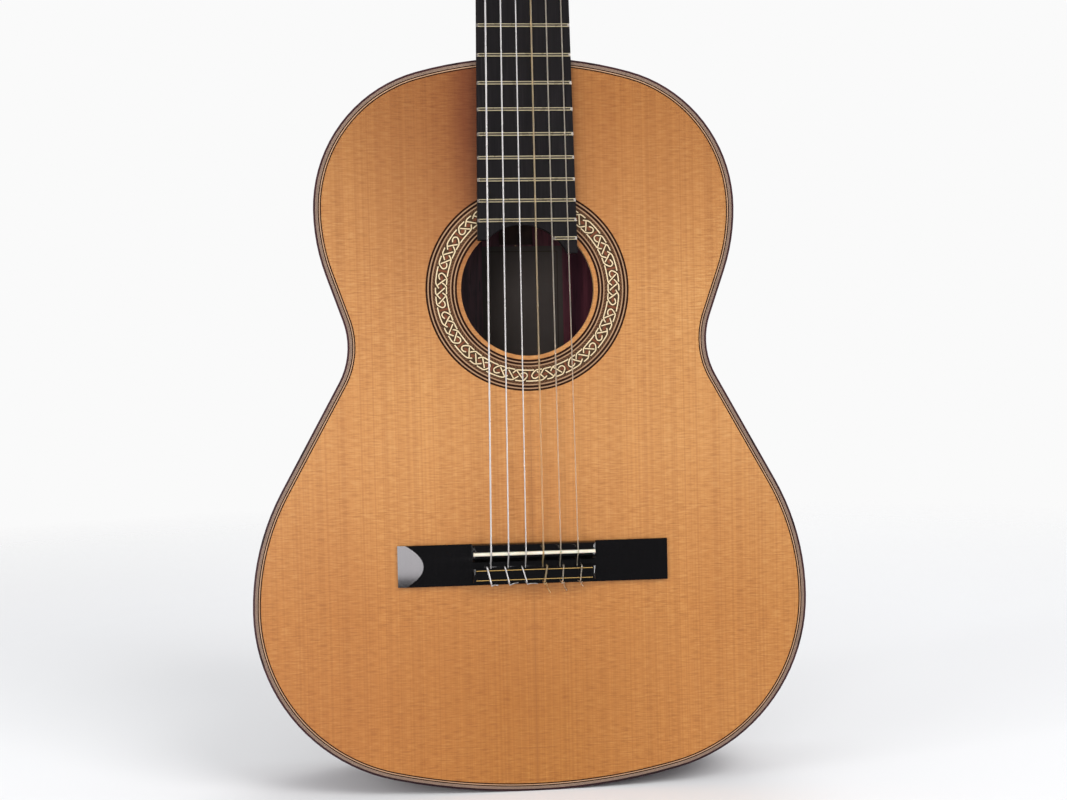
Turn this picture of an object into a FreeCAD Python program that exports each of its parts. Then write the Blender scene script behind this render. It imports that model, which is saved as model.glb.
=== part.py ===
import FreeCAD, Part
import math
import os

# Classical guitar. Millimetres. +Z runs up the neck, the soundboard faces -Y, the treble side is +X.
# Z = 0 is the tail end of the body, X = 0 its plane of symmetry.

# ---- driving dimensions -----------------------------------------------------------------
SCALE_LENGTH = 650.0          # nut to the theoretical saddle line
BODY_LENGTH = 487.5           # the 12th fret lies over the body joint
SADDLE_LINE_Z = BODY_LENGTH - SCALE_LENGTH / 2
NUT_Z = SADDLE_LINE_Z + SCALE_LENGTH
TOP_Y = -45.0                 # front face of the soundboard
TOP_T = 2.5
BACK_T = 2.5
RIB_T = 2.2
DEPTH_MAX = 102.8             # deepest point of the domed back
BACK_RADIUS = 6000.0
BACK_POLE_Z = 182.0

UPPER_HALF, UPPER_Z = 139.7, 387.8        # widest place of the upper bout
WAIST_HALF, WAIST_Z = 119.4, 299.0
LOWER_HALF, LOWER_Z = 184.9, 125.5
R_SHOULDER, R_UPPER_FLANK, R_WAIST = 93.5, 130.0, 50.0
R_LOWER_FLANK, R_TAIL_CORNER = 163.0, 117.5

BINDING_W, BINDING_D = 1.4, 6.0
PURFLING_W, PURFLING_D = 4.2, 1.6
LINING_W, LINING_D = 6.0, 15.0

HOLE_Z = SADDLE_LINE_Z + 172.0
HOLE_R = 44.2
ROSETTE_R = (46.9, 53.3, 61.5, 67.6)      # inner lines, mosaic, outer lines
ROSETTE_D = 1.2

BOARD_T = 6.5
BOARD_W_NUT, BOARD_W_12 = 52.0, 62.0
BOARD_END_BASS = SADDLE_LINE_Z + 204.3
BOARD_END_TREBLE = SADDLE_LINE_Z + 195.0
SCOOP_R, SCOOP_X, SCOOP_Z = 33.0, -3.5, SADDLE_LINE_Z + 181.0
FRETS = 20
PART_FRET_X = 17.0            # the 20th fret exists only from here to the treble edge
FRET_W, FRET_H, FRET_BEVEL_L = 2.4, 1.1, 1.6
TANG_W, TANG_D = 0.6, 2.0

NUT_T = 5.0
HEAD_START_Z = NUT_Z + NUT_T
NECK_DEPTH_NUT, NECK_DEPTH_HEEL = 15.5, 17.5
HEEL_FOOT_Z = 28.0            # how far the foot reaches into the body
HEEL_CAP_T = 2.5

HEAD_TILT = 15.0
HEAD_LENGTH = 192.0
HEAD_HALF = 35.0
HEAD_T = 16.5
HEADPLATE_T = 2.5
SLOT_X = (8.0, 24.0)
SLOT_U = (28.0, 138.0)
SLOT_RAMP_U, SLOT_RAMP_DEPTH = 14.0, 9.0

TUNER_U = (48.0, 83.0, 118.0)
ROLLER_R, ROLLER_DEPTH = 5.0, 7.0
ROLLER_CORE_X = 3.0
AXLE_R = 2.6
PLATE_T = 1.5
PLATE_U = (33.0, 139.0)
PLATE_DEPTH = (-1.0, 15.0)
SCREW_U = (36.5, 71.0, 106.0, 135.5)
GEAR_TEETH, GEAR_TIP_R, GEAR_ROOT_R, GEAR_W = 16, 6.1, 4.7, 4.4
WORM_PITCH, WORM_ROOT_R, WORM_TIP_R = 2.2, 1.9, 3.15
WORM_TURNS = 4
CENTRE_DISTANCE = 8.2
WORM_X = HEAD_HALF + PLATE_T + 3.7
JOURNAL_R = 1.6
RUNNING_FIT = 0.07
BUTTON_DEPTH = (19.5, 37.5)   # behind the front face of the head
BUTTON_W, BUTTON_T = 21.0, 9.5

BRIDGE_L, BRIDGE_W = 180.0, 27.5
BRIDGE_FRONT = 4.1            # ahead of the saddle line
WING_H, WING_EDGE_H = 4.6, 2.4
WING_BEVEL_L, WING_TIP_H = 17.0, 1.4
BLOCK_HALF, BLOCK_END_R = 41.0, 3.2
RIDGE_H = 9.2
TROUGH_H = 3.6
SADDLE_L, SADDLE_T, SADDLE_SEAT_H = 80.5, 2.1, 4.6
SADDLE_Z = SADDLE_LINE_Z - 2.0
TIE_FRONT, TIE_BACK = SADDLE_LINE_Z - 11.9, SADDLE_LINE_Z - 20.7
TIE_H = 9.0
TRIM_W, TRIM_D = 0.4, 0.7
HOLE_H, STRING_HOLE_R = 4.7, 1.0
TIE_FRONT_SHIFT = (-2.6, -2.3, -2.5, 2.6, 2.0, 2.6)      # of each string's loop at the block's front edge
TIE_BACK_SHIFT = (0.0, 0.4, 0.6, 0.6, 1.0, 1.4)          # and at its back edge

# string: radius and side of its tie, bass to treble
STRING_R = (0.55, 0.45, 0.38, 0.51, 0.41, 0.36)
SPREAD_SADDLE, SPREAD_NUT = 57.5, 43.0
STRING_H_SADDLE = (12.9, 12.7, 12.5, 12.4, 12.2, 12.0)   # string axis above the soundboard
STRING_H_NUT = 8.6
ROLLER_STRING_X = (19.5, 14.8, 13.0)      # where a string meets its roller, near to far


def vec(x, y, z):
    return FreeCAD.Vector(x, y, z)


def box(x0, x1, y0, y1, z0, z1):
    return Part.makeBox(x1 - x0, y1 - y0, z1 - z0, vec(x0, y0, z0))


def only_solid(shape):
    """The one solid in a boolean's result."""
    return shape.Solids[0]


def group(shapes):
    """Separate solids in one node."""
    solids = []
    for shape in shapes:
        solids += shape.Solids
    return Part.makeCompound(solids)


def polygon(points):
    return Part.Face(Part.makePolygon(points + [points[0]]))


# ---- body outline -------------------------------------------------------------------------
def polar(centre, radius, angle):
    return vec(centre[0] + radius * math.cos(angle), 0, centre[1] + radius * math.sin(angle))


def cross_tangent(bout, bout_r, waist, waist_r, up):
    """Angle, seen from the bout's centre, of the straight line between a bout arc and the waist arc."""
    dx, dz = waist[0] - bout[0], waist[1] - bout[1]
    middle = math.atan2(dz, dx)
    spread = math.acos((bout_r + waist_r) / math.hypot(dx, dz))
    return middle + spread if up else middle - spread


def end_arc(corner_x, corner_r, reach):
    """Radius of the flat arc over the centre line that meets a corner arc smoothly."""
    return (corner_x ** 2 + reach ** 2 - corner_r ** 2) / (2 * (reach - corner_r))


def half_outline(inset):
    """Arcs and lines of the treble half from the neck to the tail, as lists of two or three points."""
    shoulder = (UPPER_HALF - R_SHOULDER, UPPER_Z)
    upper = (UPPER_HALF - R_UPPER_FLANK, UPPER_Z)
    waist = (WAIST_HALF + R_WAIST, WAIST_Z)
    lower = (LOWER_HALF - R_LOWER_FLANK, LOWER_Z)
    corner = (LOWER_HALF - R_TAIL_CORNER, LOWER_Z)
    neck_r = end_arc(shoulder[0], R_SHOULDER, BODY_LENGTH - UPPER_Z)
    tail_r = end_arc(corner[0], R_TAIL_CORNER, LOWER_Z)
    neck_c = (0, BODY_LENGTH - neck_r)
    tail_c = (0, tail_r)
    neck_a = math.atan2(shoulder[1] - neck_c[1], shoulder[0])
    tail_a = math.atan2(corner[1] - tail_c[1], corner[0])
    upper_a = cross_tangent(upper, R_UPPER_FLANK, waist, R_WAIST, True)
    lower_a = cross_tangent(lower, R_LOWER_FLANK, waist, R_WAIST, False)
    pieces = []

    def arc(centre, radius, start, end):
        middle = (start + end) / 2
        pieces.append([polar(centre, radius, a) for a in (start, middle, end)])

    arc(neck_c, neck_r - inset, math.pi / 2, neck_a)
    arc(shoulder, R_SHOULDER - inset, neck_a, 0)
    arc(upper, R_UPPER_FLANK - inset, 0, upper_a)
    waist_start, waist_end = upper_a + math.pi, lower_a + math.pi
    pieces.append([pieces[-1][-1], polar(waist, R_WAIST + inset, waist_start)])
    arc(waist, R_WAIST + inset, waist_start, waist_end)
    pieces.append([pieces[-1][-1], polar(lower, R_LOWER_FLANK - inset, lower_a)])
    arc(lower, R_LOWER_FLANK - inset, lower_a, 0)
    arc(corner, R_TAIL_CORNER - inset, 0, tail_a)
    arc(tail_c, tail_r - inset, tail_a, -math.pi / 2)
    return pieces


def outline_prism(inset, y0, y1):
    """The body's outline, moved inwards by inset, as a prism between two depths."""
    edges = []
    for sign in (1, -1):
        for points in half_outline(inset):
            ends = [vec(sign * p.x, 0, p.z) for p in points]
            if len(ends) == 3:
                edges.append(Part.Arc(*ends).toShape())
            else:
                edges.append(Part.LineSegment(*ends).toShape())
    wire = Part.Wire(Part.__sortEdges__(edges))
    face = Part.Face(wire)
    face.translate(vec(0, y0, 0))
    return face.extrude(vec(0, y1 - y0, 0))


def dome(inset):
    """Ball whose surface is the outside of the back, moved inwards by inset."""
    centre = vec(0, TOP_Y + DEPTH_MAX - BACK_RADIUS, BACK_POLE_Z)
    return Part.makeSphere(BACK_RADIUS - inset, centre)


def ring(inset0, inset1, y0, y1):
    return outline_prism(inset0, y0, y1).cut(outline_prism(inset1, y0 - 1, y1 + 1))


DEEP = TOP_Y + 120.0          # safely behind the back
MID_Y = TOP_Y + 60.0          # well inside the body, for cuts that concern the back alone
INSIDE_Y = TOP_Y + TOP_T      # inner face of the soundboard
WIDE, LOW, HIGH = 250.0, -10.0, 520.0     # safely beyond the body


# ---- soundboard and what is let into it ----------------------------------------------------
def disc(radius, y0, y1):
    return Part.makeCylinder(radius, y1 - y0, vec(0, y0, HOLE_Z), vec(0, 1, 0))


def annulus(r0, r1, y0, y1):
    return disc(r1, y0, y1).cut(disc(r0, y0 - 1, y1 + 1))


def make_soundboard():
    plate = outline_prism(BINDING_W, TOP_Y, INSIDE_Y)
    plate = plate.cut(disc(HOLE_R, TOP_Y - 1, INSIDE_Y + 1))
    plate = plate.cut(annulus(ROSETTE_R[0], ROSETTE_R[3], TOP_Y - 1, TOP_Y + ROSETTE_D))
    rebate = ring(BINDING_W - 1, BINDING_W + PURFLING_W, TOP_Y - 1, TOP_Y + PURFLING_D)
    return only_solid(plate.cut(rebate))


def make_rosette_mosaic():
    return annulus(ROSETTE_R[1], ROSETTE_R[2], TOP_Y, TOP_Y + ROSETTE_D)


def make_rosette_lines():
    inner = annulus(ROSETTE_R[0], ROSETTE_R[1], TOP_Y, TOP_Y + ROSETTE_D)
    outer = annulus(ROSETTE_R[2], ROSETTE_R[3], TOP_Y, TOP_Y + ROSETTE_D)
    return group([inner, outer])


def make_top_purfling():
    return only_solid(ring(BINDING_W, BINDING_W + PURFLING_W, TOP_Y, TOP_Y + PURFLING_D))


def make_bindings():
    front = ring(0, BINDING_W, TOP_Y, TOP_Y + BINDING_D)
    back = ring(0, BINDING_W, MID_Y, DEEP).common(dome(0)).cut(dome(BINDING_D))
    return group([front, back])


# ---- ribs, blocks, linings -------------------------------------------------------------------
TENON_HALF = 12.0
GRAFT_FRONT_HALF, GRAFT_BACK_HALF = 7.0, 4.0
TAIL_BLOCK_HALF, TAIL_BLOCK_L = 34.0, 18.0


def rib_ring():
    """Both ribs in one, rebated at both edges for the bindings."""
    shell = ring(0, RIB_T, INSIDE_Y, DEEP).common(dome(BACK_T))
    front_rebate = ring(-1, BINDING_W, TOP_Y, TOP_Y + BINDING_D)
    back_rebate = ring(-1, BINDING_W, MID_Y, DEEP).cut(dome(BINDING_D))
    return shell.cut(front_rebate).cut(back_rebate)


def graft_wedge():
    front, back = TOP_Y, DEEP
    points = [vec(-GRAFT_FRONT_HALF, front, -5), vec(GRAFT_FRONT_HALF, front, -5),
              vec(GRAFT_BACK_HALF, back, -5), vec(-GRAFT_BACK_HALF, back, -5)]
    return polygon(points).extrude(vec(0, 0, 15))


def tenon():
    return box(-TENON_HALF, TENON_HALF, TOP_Y, DEEP, BODY_LENGTH - 20, BODY_LENGTH + 10)


def make_sides():
    ribs = rib_ring().cut(graft_wedge()).cut(tenon())
    bass = ribs.common(box(-WIDE, 0, TOP_Y - 5, DEEP, LOW, HIGH))
    treble = ribs.common(box(0, WIDE, TOP_Y - 5, DEEP, LOW, HIGH))
    return only_solid(bass), only_solid(treble)


def make_end_graft():
    return rib_ring().common(graft_wedge())


def inner_space():
    """The air inside the ribs, between soundboard and back."""
    return outline_prism(RIB_T, INSIDE_Y, DEEP).common(dome(BACK_T))


def make_tail_block():
    return only_solid(inner_space().common(box(-TAIL_BLOCK_HALF, TAIL_BLOCK_HALF, TOP_Y, DEEP, LOW, TAIL_BLOCK_L)))


FOOT_HALF = 31.0


def make_linings():
    clear = [box(-TAIL_BLOCK_HALF, TAIL_BLOCK_HALF, TOP_Y, DEEP, LOW, TAIL_BLOCK_L + 12),
             box(-FOOT_HALF, FOOT_HALF, TOP_Y, DEEP, BODY_LENGTH - 50, BODY_LENGTH + 10)]
    hoop = ring(RIB_T, RIB_T + LINING_W, INSIDE_Y, DEEP)
    front = hoop.common(box(-WIDE, WIDE, INSIDE_Y, INSIDE_Y + LINING_D, LOW, HIGH))
    back = hoop.common(dome(BACK_T)).cut(dome(BACK_T + LINING_D))
    strips = []
    for strip in (front, back):
        for space in clear:
            strip = strip.cut(space)
        strips += strip.Solids
    return group(strips)


def inside_linings(extra):
    inset = RIB_T + LINING_W + extra
    return outline_prism(inset, INSIDE_Y, DEEP).common(dome(BACK_T))


# ---- bars and braces ------------------------------------------------------------------------
HARMONIC_Z = (HOLE_Z - 66.0, HOLE_Z + 66.0)
HARMONIC_W, HARMONIC_H = 6.0, 17.0
FAN_COUNT = 7
FAN_W, FAN_H = 4.5, 4.5
FAN_TOP_Z, FAN_BOTTOM_Z = HARMONIC_Z[0] - 8.0, 42.0
FAN_TOP_STEP, FAN_BOTTOM_STEP, FAN_SHORTER = 17.0, 31.0, 4.0     # from each brace to the next one out
CLOSING_X, CLOSING_Z, CLOSING_HALF = (4.0, 98.0), (34.0, 44.0), 2.0
PATCH_W, PATCH_T = 16.0, 1.6


def make_harmonic_bars():
    room = inside_linings(0.5)
    bars = []
    for z in HARMONIC_Z:
        bar = box(-WIDE, WIDE, INSIDE_Y, INSIDE_Y + HARMONIC_H, z - HARMONIC_W / 2, z + HARMONIC_W / 2)
        bars.append(bar.common(room))
    return group(bars)


def fan_brace(step):
    top_x, bottom_x = step * FAN_TOP_STEP, step * FAN_BOTTOM_STEP
    short = FAN_SHORTER * abs(step)
    half = FAN_W / 2
    points = [vec(top_x - half, INSIDE_Y, FAN_TOP_Z), vec(top_x + half, INSIDE_Y, FAN_TOP_Z),
              vec(bottom_x + half, INSIDE_Y, FAN_BOTTOM_Z + short),
              vec(bottom_x - half, INSIDE_Y, FAN_BOTTOM_Z + short)]
    return polygon(points).extrude(vec(0, FAN_H, 0))


def closing_bar(sign):
    """Short bar that closes the fan at the tail end."""
    inner, outer = (sign * x for x in CLOSING_X)
    low, high = CLOSING_Z
    points = [vec(inner, INSIDE_Y, low - CLOSING_HALF), vec(outer, INSIDE_Y, high - CLOSING_HALF),
              vec(outer, INSIDE_Y, high + CLOSING_HALF), vec(inner, INSIDE_Y, low + CLOSING_HALF)]
    return polygon(points).extrude(vec(0, FAN_H, 0))


def make_fan_braces():
    middle = (FAN_COUNT - 1) // 2
    braces = [fan_brace(i - middle) for i in range(FAN_COUNT)]
    return group(braces + [closing_bar(1), closing_bar(-1)])


def make_soundhole_patch():
    return annulus(HOLE_R, HOLE_R + PATCH_W, INSIDE_Y, INSIDE_Y + PATCH_T)


BACK_BRACE_Z = (HOLE_Z + 82.0, HOLE_Z - 62.0, 118.0)
BACK_BRACE_W, BACK_BRACE_H = 8.0, 15.0
STRIP_HALF, STRIP_T = 12.0, 2.0
SEAM_HALF = 0.6
LABEL_HALF, LABEL_Z = 29.5, (HOLE_Z - 52.0, HOLE_Z + 37.0)
LABEL_X = 4.7
LABEL_T = 0.3


def shell_layer(outer, thickness):
    """Layer of the given thickness against the inside of the back."""
    return box(-WIDE, WIDE, MID_Y, DEEP, LOW, HIGH).common(dome(outer)).cut(dome(outer + thickness))


def make_back_halves():
    plate = outline_prism(BINDING_W, MID_Y, DEEP).common(dome(0)).cut(dome(BACK_T))
    bass = plate.common(box(-WIDE, -SEAM_HALF, TOP_Y, DEEP, LOW, HIGH))
    treble = plate.common(box(SEAM_HALF, WIDE, TOP_Y, DEEP, LOW, HIGH))
    seam = plate.common(box(-SEAM_HALF, SEAM_HALF, TOP_Y, DEEP, LOW, HIGH))
    return group([bass, treble]), seam


def make_back_braces():
    room = inside_linings(0.5)
    bars = []
    for z in BACK_BRACE_Z:
        half = BACK_BRACE_W / 2
        bar = box(-WIDE, WIDE, MID_Y, DEEP, z - half, z + half)
        bars.append(bar.common(room).cut(dome(BACK_T + BACK_BRACE_H)))
    return group(bars)


def make_centre_strip():
    layer = shell_layer(BACK_T, STRIP_T)
    half = BACK_BRACE_W / 2
    stops = [18.0, BACK_BRACE_Z[2] - half, BACK_BRACE_Z[2] + half, BACK_BRACE_Z[1] - half,
             BACK_BRACE_Z[1] + half, LABEL_Z[0] - 1, LABEL_Z[1] + 1, BACK_BRACE_Z[0] - half]
    strips = []
    for low, high in zip(stops[0::2], stops[1::2]):
        strips.append(layer.common(box(-STRIP_HALF, STRIP_HALF, TOP_Y, DEEP, low, high)))
    return group(strips)


def make_label():
    sheet = shell_layer(BACK_T, LABEL_T)
    left, right = LABEL_X - LABEL_HALF, LABEL_X + LABEL_HALF
    return only_solid(sheet.common(box(left, right, TOP_Y, DEEP, LABEL_Z[0], LABEL_Z[1])))


# ---- neck and heel ---------------------------------------------------------------------------
def board_half(z):
    return (BOARD_W_NUT + (BOARD_W_12 - BOARD_W_NUT) * (NUT_Z - z) / (SCALE_LENGTH / 2)) / 2


def neck_section(z, depth):
    half = board_half(min(z, NUT_Z))
    back = []
    for i in range(13):
        angle = math.pi * i / 12
        back.append(vec(half * math.cos(angle), TOP_Y + depth * math.sin(angle) ** 0.9, z))
    curve = Part.BSplineCurve()
    curve.interpolate(back)
    line = Part.LineSegment(back[-1], back[0])
    return Part.Wire([curve.toShape(), line.toShape()])


def make_neck_shaft():
    stations = [(BODY_LENGTH - 12, NECK_DEPTH_HEEL + 0.2), (BODY_LENGTH + 150, NECK_DEPTH_HEEL - 0.8),
                (HEAD_START_Z, NECK_DEPTH_NUT)]
    shaft = Part.makeLoft([neck_section(z, depth) for z, depth in stations], True)
    return only_solid(shaft.cut(outline_prism(0, TOP_Y - 1, DEEP)))


HEEL_DEPTH = 93.2             # where the heel cap begins
HEEL_STATIONS = ((9.0, 29.0, 62.0), (17.0, 27.0, 41.0), (27.0, 22.5, 28.0), (45.0, 18.0, 21.5),
                 (70.0, 15.0, 18.5), (HEEL_DEPTH, 13.0, 16.5))   # depth, half width, reach


def heel_section(depth, half, reach):
    z0 = BODY_LENGTH - 8
    length = reach + 8
    rim = []
    for i in range(13):
        angle = math.pi * i / 12
        rim.append(vec(half * math.cos(angle), TOP_Y + depth, z0 + length * math.sin(angle) ** 0.8))
    curve = Part.BSplineCurve()
    curve.interpolate(rim)
    line = Part.LineSegment(rim[-1], rim[0])
    return Part.Wire([curve.toShape(), line.toShape()])


def make_heel_block(shaft):
    sections = [heel_section(*station) for station in HEEL_STATIONS]
    outside = Part.makeLoft(sections, True).cut(outline_prism(0, TOP_Y - 1, DEEP))
    foot_box = box(-FOOT_HALF, FOOT_HALF, TOP_Y, DEEP, BODY_LENGTH - HEEL_FOOT_Z, BODY_LENGTH + 5)
    inside = inner_space().common(foot_box)
    gap = ring(0, RIB_T, INSIDE_Y, DEEP).common(dome(BACK_T)).common(tenon())
    gap = gap.cut(ring(-1, BINDING_W, TOP_Y, TOP_Y + BINDING_D))
    gap = gap.cut(ring(-1, BINDING_W, MID_Y, DEEP).cut(dome(BINDING_D)))
    block = outside.cut(shaft).fuse([gap, inside])
    return only_solid(block)


def make_heel_cap():
    section = Part.Face(heel_section(*HEEL_STATIONS[-1]))
    cap = section.extrude(vec(0, HEEL_CAP_T, 0))
    return only_solid(cap.cut(outline_prism(0, TOP_Y - 1, DEEP)))


# ---- fingerboard, frets, nut -----------------------------------------------------------------
def fret_z(number):
    return SADDLE_LINE_Z + SCALE_LENGTH / 2 ** (number / 12)


def fret_span(number):
    half = board_half(fret_z(number))
    left = PART_FRET_X if number == FRETS else -half
    return left, half


def make_fingerboard():
    low, high = BOARD_END_TREBLE, NUT_Z
    a, b = board_half(low), board_half(high)
    face = polygon([vec(-a, TOP_Y, low), vec(a, TOP_Y, low), vec(b, TOP_Y, high), vec(-b, TOP_Y, high)])
    board = face.extrude(vec(0, -BOARD_T, 0))
    y0, y1 = TOP_Y - BOARD_T - 1, TOP_Y + 1
    board = board.cut(box(-50, SCOOP_X, y0, y1, low - 5, BOARD_END_BASS))
    scoop = Part.makeCylinder(SCOOP_R, y1 - y0, vec(SCOOP_X, y0, SCOOP_Z), vec(0, 1, 0))
    board = board.cut(scoop)
    for number in range(1, FRETS + 1):
        left, right = fret_span(number)
        z = fret_z(number)
        slot = box(left - 1, right + 1, y0, TOP_Y - BOARD_T + TANG_D, z - TANG_W / 2, z + TANG_W / 2)
        board = board.cut(slot)
    return only_solid(board)


def fret(number):
    """Arched crown over a tang, both ends filed to a slant."""
    left, right = fret_span(number)
    z = fret_z(number)
    foot = TOP_Y - BOARD_T
    crown = Part.Arc(vec(left, foot, z - FRET_W / 2), vec(left, foot - FRET_H, z),
                     vec(left, foot, z + FRET_W / 2)).toShape()
    half = TANG_W / 2
    line = [vec(left, foot, z + FRET_W / 2), vec(left, foot, z + half), vec(left, foot + TANG_D, z + half),
            vec(left, foot + TANG_D, z - half), vec(left, foot, z - half), vec(left, foot, z - FRET_W / 2)]
    profile = Part.Face(Part.Wire([crown] + Part.makePolygon(line).Edges))
    bar = profile.extrude(vec(right - left, 0, 0))
    for end, inward in ((left, 1), (right, -1)):
        top = foot - FRET_H
        wedge = polygon([vec(end, foot, z - FRET_W), vec(end + inward * FRET_BEVEL_L, top, z - FRET_W),
                         vec(end + inward * FRET_BEVEL_L, top - 1, z - FRET_W),
                         vec(end - inward, top - 1, z - FRET_W), vec(end - inward, foot, z - FRET_W)])
        bar = bar.cut(wedge.extrude(vec(0, 0, 2 * FRET_W)))
    return only_solid(bar)


def make_frets():
    return group([fret(number) for number in range(1, FRETS + 1)])


def make_nut(tubes):
    half = BOARD_W_NUT / 2
    front = TOP_Y - STRING_H_NUT
    points = [vec(-half, TOP_Y, NUT_Z), vec(-half, front, NUT_Z), vec(-half, front + 1.6, NUT_Z + NUT_T),
              vec(-half, TOP_Y, NUT_Z + NUT_T)]
    nut = polygon(points).extrude(vec(2 * half, 0, 0))
    for tube in tubes:
        nut = nut.cut(tube)
    return only_solid(nut)


# ---- headstock, in its own flat frame: x, depth behind its front face, distance u up the head ---
def to_head(shape):
    shape = shape.copy()
    shape.rotate(vec(0, 0, 0), vec(1, 0, 0), -HEAD_TILT)
    shape.translate(vec(0, TOP_Y, HEAD_START_Z))
    return shape


def head_point(x, depth, u):
    tilt = math.radians(HEAD_TILT)
    y = TOP_Y + depth * math.cos(tilt) + u * math.sin(tilt)
    z = HEAD_START_Z - depth * math.sin(tilt) + u * math.cos(tilt)
    return vec(x, y, z)


NECK_END_HALF = BOARD_W_NUT / 2
FLARE_U = (7.0, 27.0)
SHOULDER_U = HEAD_LENGTH - 20.0


def head_face(depth):
    """Outline of the head: straight cheeks, a small flare over the nut and a plain arched crown."""
    edges = []
    for sign in (1, -1):
        def at(x, u):
            return vec(sign * x, depth, u)
        flare_x = (NECK_END_HALF + HEAD_HALF) / 2
        edges.append(Part.LineSegment(at(NECK_END_HALF, -8), at(NECK_END_HALF, FLARE_U[0])))
        edges.append(Part.Arc(at(NECK_END_HALF, FLARE_U[0]), at(flare_x - 1.6, FLARE_U[0] + 12.5),
                              at(HEAD_HALF, FLARE_U[1])))
        edges.append(Part.LineSegment(at(HEAD_HALF, FLARE_U[1]), at(HEAD_HALF, SHOULDER_U)))
        edges.append(Part.Arc(at(HEAD_HALF, SHOULDER_U), at(26.5, SHOULDER_U + 4.5),
                              at(20, SHOULDER_U + 12)))
    crown = Part.Arc(vec(20, depth, SHOULDER_U + 12), vec(0, depth, HEAD_LENGTH),
                     vec(-20, depth, SHOULDER_U + 12))
    base = Part.LineSegment(vec(NECK_END_HALF, depth, -8), vec(-NECK_END_HALF, depth, -8))
    shapes = [edge.toShape() for edge in edges + [crown, base]]
    return Part.Face(Part.Wire(Part.__sortEdges__(shapes)))


def head_slot(sign):
    """Long slot with round ends and a ramp for the strings at its lower end."""
    x0, x1 = SLOT_X
    centre, half = sign * (x0 + x1) / 2, (x1 - x0) / 2
    front, back = -HEADPLATE_T - 1, HEAD_T + 1
    low, high = SLOT_U[0] + half, SLOT_U[1] - half
    slot = box(centre - half, centre + half, front, back, low, high)
    for u in (low, high):
        slot = slot.fuse(Part.makeCylinder(half, back - front, vec(centre, front, u), vec(0, 1, 0)))
    ramp = polygon([vec(centre - half, front, SLOT_RAMP_U - 2), vec(centre - half, front, low + 2),
                    vec(centre - half, SLOT_RAMP_DEPTH, low + 2)])
    return slot.fuse(ramp.extrude(vec(2 * half, 0, 0)))


def roller_bores(sign):
    """Clearance bore through the cheek and seat in the core for each roller."""
    bores = []
    for u in TUNER_U:
        start = vec(sign * SLOT_X[1] - sign, ROLLER_DEPTH, u)
        bores.append(Part.makeCylinder(ROLLER_R + 0.35, 13, start, vec(sign, 0, 0)))
        seat = vec(sign * (ROLLER_CORE_X - 0.4), ROLLER_DEPTH, u)
        seat_r = ROLLER_R + RUNNING_FIT
        bores.append(Part.makeCylinder(seat_r, SLOT_X[0] - ROLLER_CORE_X + 1, seat, vec(sign, 0, 0)))
    return bores


# where the round back of the neck turns into the square back of the head:
# height over the nut, half width, depth, squareness of the section
VOLUTE = ((0.0, 26.0, 15.5, 0.9), (7.0, 26.6, 15.9, 0.72), (15.0, 30.5, 16.7, 0.5), (25.0, 36.5, 17.6, 0.28),
          (37.0, 37.5, 18.0, 0.1))


def volute_section(rise, half, depth, power):
    """Flat in front, rounded at the back: a power of 0.9 is the neck's section and 0 would be square."""
    z = HEAD_START_Z + rise
    front = TOP_Y + rise * math.tan(math.radians(HEAD_TILT)) - (1.0 if rise > 0 else 0)
    back = []
    for i in range(17):
        angle = math.pi * i / 16
        c, s = math.cos(angle), math.sin(angle)
        x = math.copysign(abs(c) ** min(1.0, power + 0.1), c)
        back.append(vec(half * x, front + depth * s ** power if s > 1e-9 else front, z))
    curve = Part.BSplineCurve()
    curve.interpolate(back)
    return Part.Wire([curve.toShape(), Part.LineSegment(back[-1], back[0]).toShape()])


def make_headstock():
    head = head_face(0).extrude(vec(0, HEAD_T, 0))
    for sign in (1, -1):
        head = head.cut([head_slot(sign)] + roller_bores(sign))
    head = to_head(head)
    volute = Part.makeLoft([volute_section(*station) for station in VOLUTE], True)
    split_z = HEAD_START_Z + VOLUTE[-1][0]
    lower = head.common(box(-60, 60, TOP_Y - 60, TOP_Y + 60, HEAD_START_Z, split_z)).common(volute)
    upper = head.common(box(-60, 60, TOP_Y - 60, TOP_Y + 90, split_z, split_z + 250))
    return only_solid(upper.fuse(lower).removeSplitter())


def make_headplate():
    plate = head_face(-HEADPLATE_T).extrude(vec(0, HEADPLATE_T, 0))
    for sign in (1, -1):
        plate = plate.cut(head_slot(sign))
    below = box(-60, 60, TOP_Y - 60, TOP_Y + 60, HEAD_START_Z - 30, HEAD_START_Z)
    return only_solid(to_head(plate).cut(below))


# ---- tuners, drawn on the treble side and mirrored ---------------------------------------------
EAR_HALF = 2.6
EAR_DEPTHS = ((ROLLER_DEPTH - 7.0, ROLLER_DEPTH - 5.1), (ROLLER_DEPTH + 5.1, ROLLER_DEPTH + 7.0))
WORM_CORE_HALF = 4.8
GEAR_X = (WORM_X - GEAR_W / 2, WORM_X + GEAR_W / 2)


def mirrored(shape):
    return shape.mirror(vec(0, 0, 0), vec(1, 0, 0))


def place_tuner(shape, sign):
    shape = to_head(shape)
    return shape if sign > 0 else mirrored(shape)


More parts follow.
